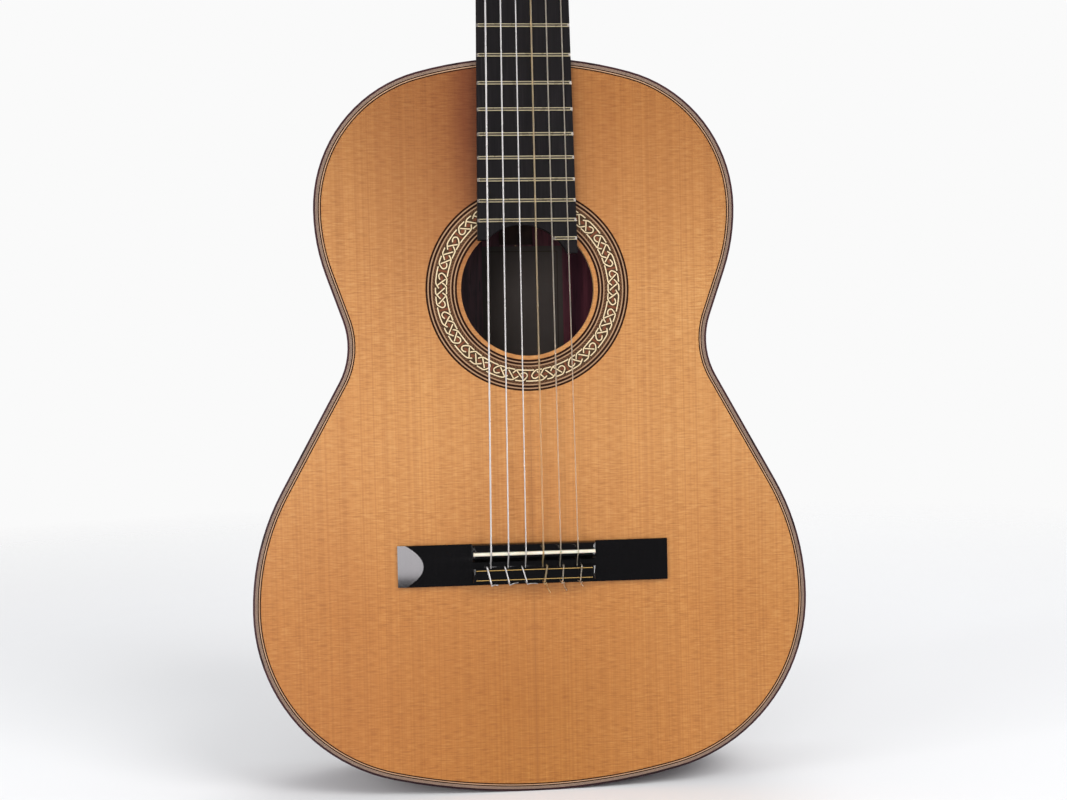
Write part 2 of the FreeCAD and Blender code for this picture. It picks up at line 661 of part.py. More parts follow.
def tuner_plate():
    x0, x1 = HEAD_HALF, HEAD_HALF + PLATE_T
    plate = box(x0, x1, PLATE_DEPTH[0], PLATE_DEPTH[1], PLATE_U[0], PLATE_U[1])
    plate = plate.makeFillet(3.0, [e for e in plate.Edges if abs(e.Length - PLATE_T) < 1e-6])
    for u in TUNER_U:
        worm_u = u + CENTRE_DISTANCE
        for depth0, depth1 in EAR_DEPTHS:
            ear = box(x1, WORM_X + 2.5, depth0, depth1, worm_u - EAR_HALF, worm_u + EAR_HALF)
            plate = plate.fuse(ear)
        start = vec(WORM_X, EAR_DEPTHS[0][0] - 1, worm_u)
        plate = plate.cut(Part.makeCylinder(JOURNAL_R + RUNNING_FIT, 18, start, vec(0, 1, 0)))
        axle = Part.makeCylinder(AXLE_R + RUNNING_FIT, 5, vec(x0 - 1, ROLLER_DEPTH, u), vec(1, 0, 0))
        plate = plate.cut(axle)
    return only_solid(plate.removeSplitter())


def plate_screw(u):
    x1 = HEAD_HALF + PLATE_T
    middle = (PLATE_DEPTH[0] + PLATE_DEPTH[1]) / 2
    head = Part.makeCylinder(2.0, 1.0, vec(x1, middle, u), vec(1, 0, 0))
    return head.cut(box(x1 + 0.5, x1 + 2, middle - 3, middle + 3, u - 0.3, u + 0.3))


def roller():
    drum = Part.makeCylinder(ROLLER_R, HEAD_HALF - 0.3 - ROLLER_CORE_X,
                             vec(ROLLER_CORE_X, ROLLER_DEPTH, 0), vec(1, 0, 0))
    axle = Part.makeCylinder(AXLE_R, GEAR_X[0] - 1.0 - HEAD_HALF + 1.0,
                             vec(HEAD_HALF - 1.0, ROLLER_DEPTH, 0), vec(1, 0, 0))
    middle = (SLOT_X[0] + SLOT_X[1]) / 2
    eye = Part.makeCylinder(0.9, 14, vec(middle, ROLLER_DEPTH - 7, 0), vec(0, 1, 0))
    return only_solid(drum.fuse(axle).cut(eye))


def gear():
    points = []
    for i in range(GEAR_TEETH):
        middle = 2 * math.pi * (i + 0.5) / GEAR_TEETH
        for radius, offset in ((GEAR_ROOT_R, -0.45), (GEAR_TIP_R, -0.2), (GEAR_TIP_R, 0.2),
                               (GEAR_ROOT_R, 0.45)):
            angle = middle + offset / radius
            points.append(vec(GEAR_X[0], radius * math.sin(angle), radius * math.cos(angle)))
    wheel = polygon(points).extrude(vec(GEAR_W, 0, 0))
    boss = Part.makeCylinder(3.2, 1.0, vec(GEAR_X[0] - 1.0, 0, 0), vec(1, 0, 0))
    screw = Part.makeCylinder(2.2, 1.2, vec(GEAR_X[1], 0, 0), vec(1, 0, 0))
    screw = screw.cut(box(GEAR_X[1] + 0.6, GEAR_X[1] + 2, -3, 3, -0.35, 0.35))
    wheel = wheel.fuse([boss, screw])
    wheel.translate(vec(0, ROLLER_DEPTH, 0))
    return only_solid(wheel)


def worm():
    """Worm and shaft along z, then turned to lie along the head's depth over its gear."""
    height = WORM_PITCH * WORM_TURNS
    helix = Part.makeHelix(WORM_PITCH, height, WORM_ROOT_R)
    sunk = WORM_ROOT_R - 0.15
    profile = Part.makePolygon([vec(sunk, 0, -0.475), vec(WORM_TIP_R, 0, -0.225), vec(WORM_TIP_R, 0, 0.225),
                                vec(sunk, 0, 0.475), vec(sunk, 0, -0.475)])
    thread = Part.Wire(helix.Edges).makePipeShell([profile], True, True)
    thread.translate(vec(0, 0, -height / 2))
    core = Part.makeCylinder(WORM_ROOT_R, 2 * WORM_CORE_HALF, vec(0, 0, -WORM_CORE_HALF))
    back = BUTTON_DEPTH[0] - ROLLER_DEPTH
    journal = Part.makeCylinder(JOURNAL_R, 7.5 + back, vec(0, 0, -7.5))
    shape = only_solid(core.fuse([thread, journal]))
    shape.rotate(vec(0, 0, 0), vec(1, 0, 0), -90)
    shape.rotate(vec(0, 0, 0), vec(0, 1, 0), 90)
    shape.translate(vec(WORM_X, ROLLER_DEPTH, CENTRE_DISTANCE))
    return shape


def button():
    """Oval button behind the head, with a collar where the shaft enters it."""
    y0, y1 = BUTTON_DEPTH
    collar_l = 3.0
    centre = (y0 + collar_l + y1) / 2
    semi_y, semi_u = (y1 - y0 - collar_l) / 2, BUTTON_W / 2
    oval = Part.Ellipse(vec(0, 0, 0), semi_u, semi_y)
    face = Part.Face(Part.Wire(oval.toShape()))
    pad = face.extrude(vec(0, 0, BUTTON_T))
    pad = pad.makeFillet(3.2, pad.Edges)
    pad.translate(vec(0, 0, -BUTTON_T / 2))
    pad.rotate(vec(0, 0, 0), vec(0, 1, 0), 90)
    pad.translate(vec(WORM_X, centre, CENTRE_DISTANCE))
    collar = Part.makeCone(2.6, 3.6, collar_l + 2, vec(WORM_X, y0, CENTRE_DISTANCE), vec(0, 1, 0))
    return only_solid(pad.fuse(collar))


# ---- bridge and saddle --------------------------------------------------------------------------
BRIDGE_FRONT_Z = SADDLE_LINE_Z + BRIDGE_FRONT
BRIDGE_BACK_Z = BRIDGE_FRONT_Z - BRIDGE_W


def above(x, height, z):
    """Point at a height over the soundboard."""
    return vec(x, TOP_Y - height, z)


def wing_bar():
    """Full length of the bridge with a crowned top and a flat bevel at each end."""
    half = BRIDGE_L / 2
    front, back = BRIDGE_FRONT_Z, BRIDGE_BACK_Z
    crown = Part.Arc(above(-half, WING_EDGE_H, front), above(-half, WING_H, (front + back) / 2),
                     above(-half, WING_EDGE_H, back)).toShape()
    line = [above(-half, WING_EDGE_H, back), above(-half, 0, back), above(-half, 0, front),
            above(-half, WING_EDGE_H, front)]
    bar = Part.Face(Part.Wire([crown] + Part.makePolygon(line).Edges)).extrude(vec(2 * half, 0, 0))
    for sign in (1, -1):
        tip, inner = sign * half, sign * (half - WING_BEVEL_L)
        bevel = polygon([above(tip, WING_TIP_H, back - 1), above(inner, WING_H, back - 1),
                         above(tip, WING_H + 5, back - 1)])
        bar = bar.cut(bevel.extrude(vec(0, 0, BRIDGE_W + 2)))
    return bar


def centre_block():
    """Saddle ridge, trough and tie block, with rounded ends."""
    front, back = BRIDGE_FRONT_Z, BRIDGE_BACK_Z
    ridge_back = SADDLE_Z - 2.8
    x = -BLOCK_HALF
    flat_front = front - 3.4
    nose = Part.Arc(above(x, 3.0, front), above(x, RIDGE_H - 1.4, front - 1.1), above(x, RIDGE_H, flat_front))
    flat = Part.LineSegment(above(x, RIDGE_H, flat_front), above(x, RIDGE_H, ridge_back))
    slope = Part.Arc(above(x, RIDGE_H, ridge_back), above(x, TROUGH_H + 1.0, ridge_back - 3.2),
                     above(x, TROUGH_H, TIE_FRONT))
    line = [above(x, TROUGH_H, TIE_FRONT), above(x, TIE_H, TIE_FRONT), above(x, TIE_H, TIE_BACK),
            above(x, 2.6, TIE_BACK - 0.6), above(x, 2.0, back), above(x, 0, back), above(x, 0, front),
            above(x, 3.0, front)]
    edges = [nose.toShape(), flat.toShape(), slope.toShape()] + Part.makePolygon(line).Edges
    block = Part.Face(Part.Wire(edges)).extrude(vec(2 * BLOCK_HALF, 0, 0))
    r = BLOCK_END_R
    for sign in (1, -1):
        corner = box(-1, r, -1, r, -60, 60).cut(Part.makeCylinder(r, 130, vec(r, r, -65)))
        corner.translate(vec(-BLOCK_HALF, TOP_Y - RIDGE_H, SADDLE_LINE_Z))
        block = block.cut(corner if sign < 0 else mirrored(corner))
    return block


def saddle_slot():
    half_l, half_t = SADDLE_L / 2, SADDLE_T / 2
    return box(-half_l, half_l, TOP_Y - RIDGE_H - 2, TOP_Y - SADDLE_SEAT_H, SADDLE_Z - half_t, SADDLE_Z + half_t)


def trim_slots():
    half = BLOCK_HALF - 2.5
    top = TOP_Y - TIE_H
    places = (TIE_FRONT - 1.0 - TRIM_W, TIE_BACK + 1.0)
    return [box(-half, half, top, top + TRIM_D, z, z + TRIM_W) for z in places]


def make_bridge():
    bridge = wing_bar().fuse(centre_block())
    bridge = bridge.cut([saddle_slot()] + trim_slots())
    for x in saddle_xs():
        start = above(x, HOLE_H, TIE_FRONT + 2)
        bridge = bridge.cut(Part.makeCylinder(STRING_HOLE_R, 12, start, vec(0, 0, -1)))
    return only_solid(bridge.removeSplitter())


def make_saddle(tubes):
    """Bone bar with a rounded crown, a little higher under the bass strings."""
    half_l, half_t = SADDLE_L / 2, SADDLE_T / 2
    sections = []
    for x, height in ((-half_l, STRING_H_SADDLE[0] - 0.4), (half_l, STRING_H_SADDLE[-1] - 0.3)):
        crown = Part.Arc(above(x, height - 0.7, SADDLE_Z + half_t), above(x, height, SADDLE_Z),
                         above(x, height - 0.7, SADDLE_Z - half_t)).toShape()
        line = [above(x, height - 0.7, SADDLE_Z - half_t), above(x, SADDLE_SEAT_H, SADDLE_Z - half_t),
                above(x, SADDLE_SEAT_H, SADDLE_Z + half_t), above(x, height - 0.7, SADDLE_Z + half_t)]
        sections.append(Part.Wire([crown] + Part.makePolygon(line).Edges))
    saddle = Part.makeLoft(sections, True, True)
    for tube in tubes:
        saddle = saddle.cut(tube)
    return only_solid(saddle)


# ---- strings ---------------------------------------------------------------------------------
def spread(width):
    return [-width / 2 + width * i / 5 for i in range(6)]


def saddle_xs():
    return spread(SPREAD_SADDLE)


def string_route(index):
    """Corners of a string from its roller over nut and saddle, through the tie block and back over it."""
    sign = -1 if index < 3 else 1
    near_to_far = index if index < 3 else 5 - index
    radius = STRING_R[index]
    x = saddle_xs()[index]
    over_back, over_front = x + TIE_BACK_SHIFT[index], x + TIE_FRONT_SHIFT[index]
    roller_u = TUNER_U[near_to_far]
    clear = ROLLER_DEPTH - ROLLER_R - radius - 0.4
    return [head_point(sign * ROLLER_STRING_X[near_to_far], clear, roller_u),
            vec(spread(SPREAD_NUT)[index], TOP_Y - STRING_H_NUT, NUT_Z + 0.8),
            above(x, STRING_H_SADDLE[index], SADDLE_Z),
            above(x, HOLE_H, TIE_FRONT + 1.6),
            above(x, HOLE_H, TIE_BACK - 1.3),
            above(over_back, TIE_H + radius + 0.15, TIE_BACK - 1.3),
            above(over_front, TIE_H + radius + 0.15, TIE_FRONT + 0.3 + radius),
            above(over_front, HOLE_H + 1.2, TIE_FRONT + 0.3 + radius)]


BEND_R = (0, 6.0, 3.0, 2.2, 1.15, 1.15, 1.1, 0)


def tube(points, bends, radius):
    """Round bar along straight runs joined by tangent arcs."""
    edges = []
    start = points[0]
    for before, corner, after, bend in zip(points, points[1:], points[2:], bends[1:]):
        arrive = (corner - before).normalize()
        leave = (after - corner).normalize()
        turn = arrive.getAngle(leave)
        reach = bend * math.tan(turn / 2)
        first, last = corner - arrive * reach, corner + leave * reach
        inward = (leave - arrive).normalize()
        middle = corner + inward * (bend / math.cos(turn / 2) - bend)
        edges.append(Part.LineSegment(start, first).toShape())
        edges.append(Part.Arc(first, middle, last).toShape())
        start = last
    edges.append(Part.LineSegment(start, points[-1]).toShape())
    along = (points[1] - points[0]).normalize()
    ring_wire = Part.Wire(Part.Circle(points[0], along, radius).toShape())
    return only_solid(Part.Wire(edges).makePipeShell([ring_wire], True, False))


def make_strings():
    return [tube(string_route(i), BEND_R, STRING_R[i]) for i in range(6)]


def groove_tubes(extra, first, count):
    """Oversized stretches of the strings that shape their grooves."""
    tubes = []
    for i in range(6):
        route = string_route(i)[first:first + count]
        tubes.append(tube(route, BEND_R[first:first + count], STRING_R[i] + extra))
    return tubes


# ---- nodes --------------------------------------------------------------------------------------
def body_nodes():
    bass, treble = make_sides()
    back, seam = make_back_halves()
    return {"soundboard": make_soundboard(), "rosette_mosaic": make_rosette_mosaic(),
            "rosette_lines": make_rosette_lines(), "top_purfling": make_top_purfling(),
            "bindings": make_bindings(), "side_bass": bass, "side_treble": treble,
            "tail_block": make_tail_block(), "linings": make_linings(),
            "harmonic_bars": make_harmonic_bars(), "fan_braces": make_fan_braces(),
            "soundhole_patch": make_soundhole_patch(), "back_halves": back,
            "seam_inlays": group([make_end_graft(), seam]),
            "back_braces": make_back_braces(), "back_centre_strip": make_centre_strip(),
            "label": make_label()}


def neck_nodes():
    shaft = make_neck_shaft()
    nut = make_nut(groove_tubes(0.05, 0, 3))
    return {"neck_shaft": shaft, "heel_block": make_heel_block(shaft), "heel_cap": make_heel_cap(),
            "headstock": make_headstock(), "headplate": make_headplate(),
            "fingerboard": make_fingerboard(), "frets": make_frets(), "nut": nut}


def bridge_nodes():
    saddle = make_saddle(groove_tubes(0.02, 1, 3))
    return {"bridge": make_bridge(), "saddle": saddle, "tie_block_trim": group(trim_slots())}


def tuner_nodes():
    plate = tuner_plate()
    screws = [plate_screw(u) for u in SCREW_U]
    nodes = {"tuner_plates": group([place_tuner(plate, s) for s in (-1, 1)]),
             "plate_screws": group([place_tuner(screw, s) for s in (-1, 1) for screw in screws])}
    pieces = {"roller": roller(), "gear": gear(), "worm": worm(), "button": button()}
    for index in range(6):
        sign = -1 if index < 3 else 1
        near_to_far = index if index < 3 else 5 - index
        for name, piece in pieces.items():
            moved = piece.copy()
            moved.translate(vec(0, 0, TUNER_U[near_to_far]))
            nodes[f"{name}_{6 - index}"] = place_tuner(moved, sign)
    return nodes


def main():
    nodes = body_nodes()
    nodes.update(neck_nodes())
    nodes.update(bridge_nodes())
    nodes.update(tuner_nodes())
    for index, string in enumerate(make_strings()):
        nodes[f"string_{6 - index}"] = string
    os.makedirs("parts", exist_ok=True)
    for name, shape in nodes.items():
        shape.exportStep(f"parts/{name}.step")
        print(name, shape.isValid(), len(shape.Solids), round(shape.Volume, 1))


main()
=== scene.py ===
import math

import bpy
from mathutils import Matrix, Vector


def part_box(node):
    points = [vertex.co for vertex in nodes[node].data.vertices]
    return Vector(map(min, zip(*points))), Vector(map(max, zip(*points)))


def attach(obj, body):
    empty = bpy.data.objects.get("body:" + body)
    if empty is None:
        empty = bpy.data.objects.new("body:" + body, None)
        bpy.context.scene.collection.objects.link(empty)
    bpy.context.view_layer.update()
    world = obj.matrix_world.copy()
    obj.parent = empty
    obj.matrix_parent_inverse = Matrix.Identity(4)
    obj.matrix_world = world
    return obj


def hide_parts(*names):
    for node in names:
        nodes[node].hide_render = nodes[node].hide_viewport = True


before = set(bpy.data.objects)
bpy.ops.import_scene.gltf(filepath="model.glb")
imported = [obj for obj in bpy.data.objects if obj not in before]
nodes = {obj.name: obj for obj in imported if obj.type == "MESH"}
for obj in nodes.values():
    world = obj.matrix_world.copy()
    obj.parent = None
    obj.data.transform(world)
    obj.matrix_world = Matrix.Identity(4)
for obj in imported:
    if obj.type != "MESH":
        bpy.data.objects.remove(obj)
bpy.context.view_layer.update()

MM = 0.001

# ---- places read from the frame -------------------------------------------------------------
TOP_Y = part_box("soundboard")[0].y
HOLE_Z = sum(corner.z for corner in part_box("rosette_mosaic")) / 2
SADDLE_SETBACK = 2.0 * MM                                            # towards the tail, for true notes
SADDLE_LINE_Z = sum(corner.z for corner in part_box("saddle")) / 2 + SADDLE_SETBACK
BODY_LENGTH = 487.5 * MM
STRING_R = [r * MM for r in (0.55, 0.45, 0.38, 0.51, 0.41, 0.36)]    # lowest string first
HEAD_TILT = math.radians(15)
HEAD_BACK = Vector((0, math.cos(HEAD_TILT), -math.sin(HEAD_TILT)))   # square to the head, to its back


# ---- small helpers ----------------------------------------------------------------------------
def linear(r, g, b):
    """A colour from 0-255 values as they look on a screen."""
    def one(value):
        value /= 255
        return value / 12.92 if value <= 0.04045 else ((value + 0.055) / 1.055) ** 2.4
    return one(r), one(g), one(b), 1.0


def new_mesh(name, points, faces, material, smooth=False):
    mesh = bpy.data.meshes.new(name)
    mesh.from_pydata([tuple(p) for p in points], [], faces)
    mesh.validate()
    mesh.update()
    piece = bpy.data.objects.new(name, mesh)
    bpy.context.scene.collection.objects.link(piece)
    mesh.materials.append(material)
    if smooth:
        mesh.polygons.foreach_set("use_smooth", [True] * len(mesh.polygons))
    return piece


def closed_sweep(name, rings, material):
    """Skin over a row of rings of equal length whose last ring meets the first."""
    count = len(rings[0])
    points = [p for ring in rings for p in ring]
    faces = []
    for i in range(len(rings)):
        a, b = i * count, (i + 1) % len(rings) * count
        for j in range(count):
            k = (j + 1) % count
            faces.append((a + j, a + k, b + k, b + j))
    return new_mesh(name, points, faces, material)


class Shader:
    """Builds one material's node tree around its Principled shader."""

    def __init__(self, name, **sockets):
        self.material = bpy.data.materials.new(name)
        self.material.use_nodes = True
        self.tree = self.material.node_tree
        self.surface = self.tree.nodes["Principled BSDF"]
        for socket, value in sockets.items():
            self.surface.inputs[socket.replace("_", " ")].default_value = value
        self.place = self.tree.nodes.new("ShaderNodeTexCoord").outputs["Object"]

    def node(self, kind, links, **settings):
        made = self.tree.nodes.new(kind)
        for key, value in settings.items():
            setattr(made, key, value)
        for socket, value in links.items():
            target = made.inputs[socket]
            if isinstance(value, bpy.types.NodeSocket):
                self.tree.links.new(value, target)
            else:
                target.default_value = value
        return made

    def scaled(self, x, y, z, source=None):
        """Coordinates stretched so that one unit is 1/x, 1/y and 1/z metres."""
        made = self.node("ShaderNodeMapping", {"Vector": source or self.place, "Scale": (x, y, z)})
        return made.outputs["Vector"]

    def folded(self):
        """Coordinates mirrored about the centre line, as in book-matched halves."""
        parts = self.node("ShaderNodeSeparateXYZ", {"Vector": self.place}).outputs
        across = self.maths("ABSOLUTE", parts[0], 0.0)
        return self.node("ShaderNodeCombineXYZ", {"X": across, "Y": parts[1], "Z": parts[2]}).outputs[0]

    def noise(self, vector, detail=3.0, rough=0.5, distortion=0.0):
        made = self.node("ShaderNodeTexNoise", {"Vector": vector, "Scale": 1.0, "Detail": detail,
                                                "Roughness": rough, "Distortion": distortion})
        return made.outputs["Fac"]

    def maths(self, operation, a, b):
        return self.node("ShaderNodeMath", {0: a, 1: b}, operation=operation).outputs[0]

    def ranged(self, value, low, high, to_low=0.0, to_high=1.0):
        made = self.node("ShaderNodeMapRange", {"Value": value, "From Min": low, "From Max": high,
                                                "To Min": to_low, "To Max": to_high})
        return made.outputs["Result"]

    def ramp(self, value, *stops):
        """Colours at places from 0 to 1."""
        made = self.node("ShaderNodeValToRGB", {"Fac": value})
        elements = made.color_ramp.elements
        while len(elements) < len(stops):
            elements.new(0.5)
        for element, (place, colour) in zip(elements, stops):
            element.position = place
            element.color = colour
        return made.outputs["Color"]

    def mix(self, factor, a, b, blend="MIX"):
        made = self.node("ShaderNodeMix", {0: factor, 6: a, 7: b}, data_type="RGBA", blend_type=blend)
        return made.outputs[2]

    def tinted(self, colour, tint):
        return self.mix(1.0, colour, tint, "MULTIPLY")

    def shade(self, colour, value, low, high):
        """Colour made darker or lighter: value 0 multiplies it by low and 1 by high."""
        grey = self.ranged(value, 0.0, 1.0, low, high)
        both = self.node("ShaderNodeCombineColor", {0: grey, 1: grey, 2: grey}).outputs[0]
        return self.tinted(colour, both)

    def set(self, socket, value):
        self.tree.links.new(value, self.surface.inputs[socket])

    def bump(self, height, distance, strength):
        made = self.node("ShaderNodeBump", {"Height": height, "Distance": distance, "Strength": strength})
        self.set("Normal", made.outputs["Normal"])


# ---- materials ----------------------------------------------------------------------------------
CEDAR_PATCHES = ((0.25, linear(189, 124, 68)), (0.5, linear(200, 137, 78)), (0.75, linear(208, 148, 88)))
# tint of the plate from its tail to its shoulders, as a share of the body's length
CEDAR_TINT = ((0.0, (0.80, 0.71, 0.49, 1)), (0.25, (0.81, 0.74, 0.54, 1)), (0.47, (0.93, 0.96, 0.92, 1)),
              (0.68, (0.90, 0.92, 0.88, 1)), (0.95, (0.655, 0.575, 0.41, 1)))
LOW_MIDDLE_TINT = (0.86, 0.80, 0.64, 1)
SILK_LIGHT, SILK_DARK = (1.36, 1.78, 2.38, 1), (0.53, 0.43, 0.39, 1)


def cedar():
    """Quarter-sawn cedar: fine upright rings, cross silk, warm patches and painted shade beside the neck,
    under clear gloss.
    """
    s = Shader("cedar_top", Roughness=0.42, Coat_Weight=0.55, Coat_Roughness=0.16)
    fold = s.folded()
    drift = s.noise(s.scaled(9, 9, 2.2, fold), detail=1.0)
    parts = s.node("ShaderNodeSeparateXYZ", {"Vector": fold}).outputs
    across = s.maths("ADD", parts[0], s.maths("MULTIPLY", drift, 0.006))
    line = s.node("ShaderNodeCombineXYZ", {"X": across, "Y": parts[1], "Z": parts[2]}).outputs[0]
    rings = s.noise(s.scaled(760, 40, 1.2, line), detail=2.0, rough=0.55)
    wide = s.noise(s.scaled(150, 20, 0.9, line), detail=2.0)
    fibre = s.noise(s.scaled(2600, 300, 55, line), detail=2.0, rough=0.6)
    silk = s.noise(s.scaled(125, 110, 1020, fold), detail=2.0, rough=0.62, distortion=0.2)
    silk_place = s.noise(s.scaled(12, 10, 18, fold), detail=2.0)
    patches = s.noise(s.scaled(5, 5, 3.5), detail=2.0)

    base = s.ramp(patches, *CEDAR_PATCHES)
    base = s.mix(s.ranged(rings, 0.38, 0.62, 0.0, 0.27), base, linear(158, 96, 50))
    base = s.shade(base, wide, 0.98, 1.03)
    height = s.ranged(parts[2], 0.0, BODY_LENGTH)
    base = s.tinted(base, s.ramp(height, *CEDAR_TINT))
    low_middle = s.maths("MULTIPLY", s.ranged(parts[0], 0.11, 0.02), s.ranged(parts[2], 0.13, 0.06))
    base = s.mix(s.maths("MULTIPLY", low_middle, 0.9), base, s.tinted(base, LOW_MIDDLE_TINT))

    # painted shade: the bass side darkens towards the neck, standing in for the fingerboard's shadow
    x, _, z = s.node("ShaderNodeSeparateXYZ", {"Vector": s.place}).outputs
    neck_shade = s.maths("ADD", s.ranged(x, -0.16, -0.03, 0.0, 0.54), s.ranged(x, -0.054, -0.040, 0.0, 0.4))
    neck_shade = s.maths("MULTIPLY", neck_shade, s.ranged(x, -0.02, -0.025))
    neck_shade = s.maths("MULTIPLY", neck_shade, s.ranged(z, 0.27, 0.44))
    base = s.mix(neck_shade, base, linear(108, 52, 22))

    base = s.shade(base, fibre, 0.95, 1.05)
    amount = s.ranged(silk_place, 0.3, 0.6, 0.68, 1.0)
    light = s.maths("MULTIPLY", s.ranged(silk, 0.5, 0.68), amount)
    base = s.mix(s.maths("MULTIPLY", light, 0.34), base, s.tinted(base, SILK_LIGHT))
    dark = s.maths("MULTIPLY", s.ranged(silk, 0.48, 0.32), amount)
    base = s.mix(s.maths("MULTIPLY", dark, 0.42), base, s.tinted(base, SILK_DARK))
    seam = s.ranged(parts[0], 0.0, 0.0004, 0.35, 0.0)
    base = s.mix(seam, base, linear(120, 70, 38))
    s.set("Base Color", base)
    s.set("Roughness", s.ranged(fibre, 0.2, 0.8, 0.36, 0.5))
    s.bump(rings, 0.00004, 0.35)
    return s.material


# light, middle and dark bands
ROSEWOOD = (linear(112, 56, 68), linear(78, 36, 50), linear(40, 17, 30))
HEAD_ROSEWOOD = (linear(92, 45, 52), linear(62, 29, 37), linear(34, 15, 22))
BINDING_WOOD = (linear(66, 36, 38), linear(48, 24, 28), linear(30, 15, 20))
AXIS_NUMBER = {"x": 0, "y": 1, "z": 2}
GRAIN_STRETCH = 0.035          # streaks are this much less frequent along the grain


def dark_wood(name, along, across, colours, gloss=0.13, streak=70.0):
    """Rosewood: dark bands and streaks along the given axes, open pores, under gloss."""
    s = Shader(name, Roughness=0.32, Coat_Weight=0.9, Coat_Roughness=gloss)
    scale = [streak, streak, streak]
    for axis in along:
        scale[AXIS_NUMBER[axis]] = streak * GRAIN_STRETCH
    source = s.folded()
    warp = s.noise(s.scaled(6, 12, 6, source), detail=2.0)
    parts = list(s.node("ShaderNodeSeparateXYZ", {"Vector": source}).outputs)
    axis = AXIS_NUMBER[across]
    parts[axis] = s.maths("ADD", parts[axis], s.maths("MULTIPLY", warp, 0.018))
    bent = s.node("ShaderNodeCombineXYZ", {"X": parts[0], "Y": parts[1], "Z": parts[2]}).outputs[0]
    bands = s.noise(s.scaled(*scale, bent), detail=4.0, rough=0.6)
    fine = s.noise(s.scaled(*[v * 9 for v in scale], bent), detail=3.0, rough=0.65)
    pores = s.noise(s.scaled(*[v * 22 for v in scale], source), detail=1.0)
    light, middle, dark = colours
    base = s.ramp(bands, (0.3, dark), (0.47, middle), (0.56, light), (0.7, middle))
    base = s.shade(base, fine, 0.55, 1.35)
    base = s.mix(s.ranged(pores, 0.62, 0.72, 0.0, 0.65), base, linear(18, 8, 8))
    s.set("Base Color", base)
    s.set("Roughness", s.ranged(fine, 0.2, 0.8, 0.25, 0.42))
    s.bump(pores, 0.00002, 0.3)
    return s.material


def neck_wood():
    """Spanish cedar: pinkish brown, short pores along the neck, satin."""
    s = Shader("neck_cedar", Roughness=0.38, Coat_Weight=0.35, Coat_Roughness=0.22)
    bands = s.noise(s.scaled(90, 60, 3.0), detail=3.0, rough=0.6)
    pores = s.noise(s.scaled(1500, 1500, 75), detail=2.0)
    figure = s.noise(s.scaled(30, 30, 120), detail=2.0)
    base = s.ramp(bands, (0.3, linear(120, 66, 38)), (0.5, linear(146, 84, 50)),
                  (0.7, linear(168, 102, 62)))
    base = s.mix(s.ranged(pores, 0.6, 0.68, 0.0, 0.6), base, linear(74, 38, 22))
    base = s.shade(base, figure, 0.92, 1.08)
    s.set("Base Color", base)
    s.set("Roughness", s.ranged(pores, 0.4, 0.8, 0.34, 0.5))
    s.bump(pores, 0.00003, 0.25)
    return s.material


EBONY_SHADES = ((0.3, (1, 0.88, 0.95)), (0.6, (1.5, 1.34, 1.44)), (0.8, (2.2, 1.94, 2.04)))


def ebony(name, roughness, coat, coat_roughness, sheen, tone):
    """Ebony: almost black with faint brown fibres and fine polish marks."""
    s = Shader(name, Roughness=roughness, Coat_Weight=coat, Coat_Roughness=coat_roughness,
               Specular_IOR_Level=sheen)
    fibre = s.noise(s.scaled(1400, 900, 30), detail=3.0, rough=0.6)
    bands = s.noise(s.scaled(120, 80, 3), detail=2.0)
    stops = [(place, linear(*(tone * v for v in shade))) for place, shade in EBONY_SHADES]
    base = s.ramp(fibre, *stops)
    base = s.shade(base, bands, 0.75, 1.25)
    s.set("Base Color", base)
    s.set("Roughness", s.ranged(fibre, 0.2, 0.8, roughness - 0.05, roughness + 0.08))
    s.bump(fibre, 0.00001, 0.3)
    return s.material


def inlay(name, colour, contrast=0.12):
    """Thin strip of dyed or plain wood under the finish, with fine fibres."""
    s = Shader(name, Roughness=0.5, Coat_Weight=0.12, Coat_Roughness=0.16, Specular_IOR_Level=0.15)
    fibre = s.noise(s.scaled(900, 900, 900), detail=3.0, rough=0.6)
    patch = s.noise(s.scaled(60, 60, 60), detail=2.0)
    base = s.shade(colour, fibre, 1 - contrast, 1 + contrast)
    base = s.shade(base, patch, 1 - contrast, 1 + contrast)
    s.set("Base Color", base)
    s.set("Roughness", s.ranged(fibre, 0.2, 0.8, 0.34, 0.5))
    return s.material


def bone():
    """Polished bone: pale clouds and a few fine marrow specks."""
    s = Shader("bone", Roughness=0.28, Coat_Weight=0.3, Coat_Roughness=0.12, Subsurface_Weight=0.15,
               Subsurface_Scale=0.002)
    cloud = s.noise(s.scaled(120, 120, 120), detail=3.0)
    specks = s.noise(s.scaled(900, 3000, 3000), detail=2.0)
    base = s.ramp(cloud, (0.3, linear(212, 204, 182)), (0.7, linear(229, 225, 210)))
    base = s.mix(s.ranged(specks, 0.66, 0.76, 0.0, 0.3), base, linear(190, 170, 130))
    s.set("Base Color", base)
    s.bump(specks, 0.00001, 0.2)
    return s.material


def metal(name, colour, roughness, brush=(2500, 2500, 60), tarnish=None, metallic=1.0):
    """Polished or brushed metal with fine lines and a little dulling in patches."""
    s = Shader(name, Metallic=metallic, Roughness=roughness)
    lines = s.noise(s.scaled(*brush), detail=2.0, rough=0.6)
    cloud = s.noise(s.scaled(160, 160, 160), detail=3.0)
    base = s.mix(s.ranged(cloud, 0.45, 0.75, 0.0, 0.5), colour, tarnish or colour)
    base = s.shade(base, lines, 0.9, 1.06)
    s.set("Base Color", base)
    s.set("Roughness", s.ranged(s.maths("ADD", lines, cloud), 0.6, 1.4, roughness * 0.7, roughness * 1.4))
    s.bump(lines, 0.000003, 0.1)
    return s.material


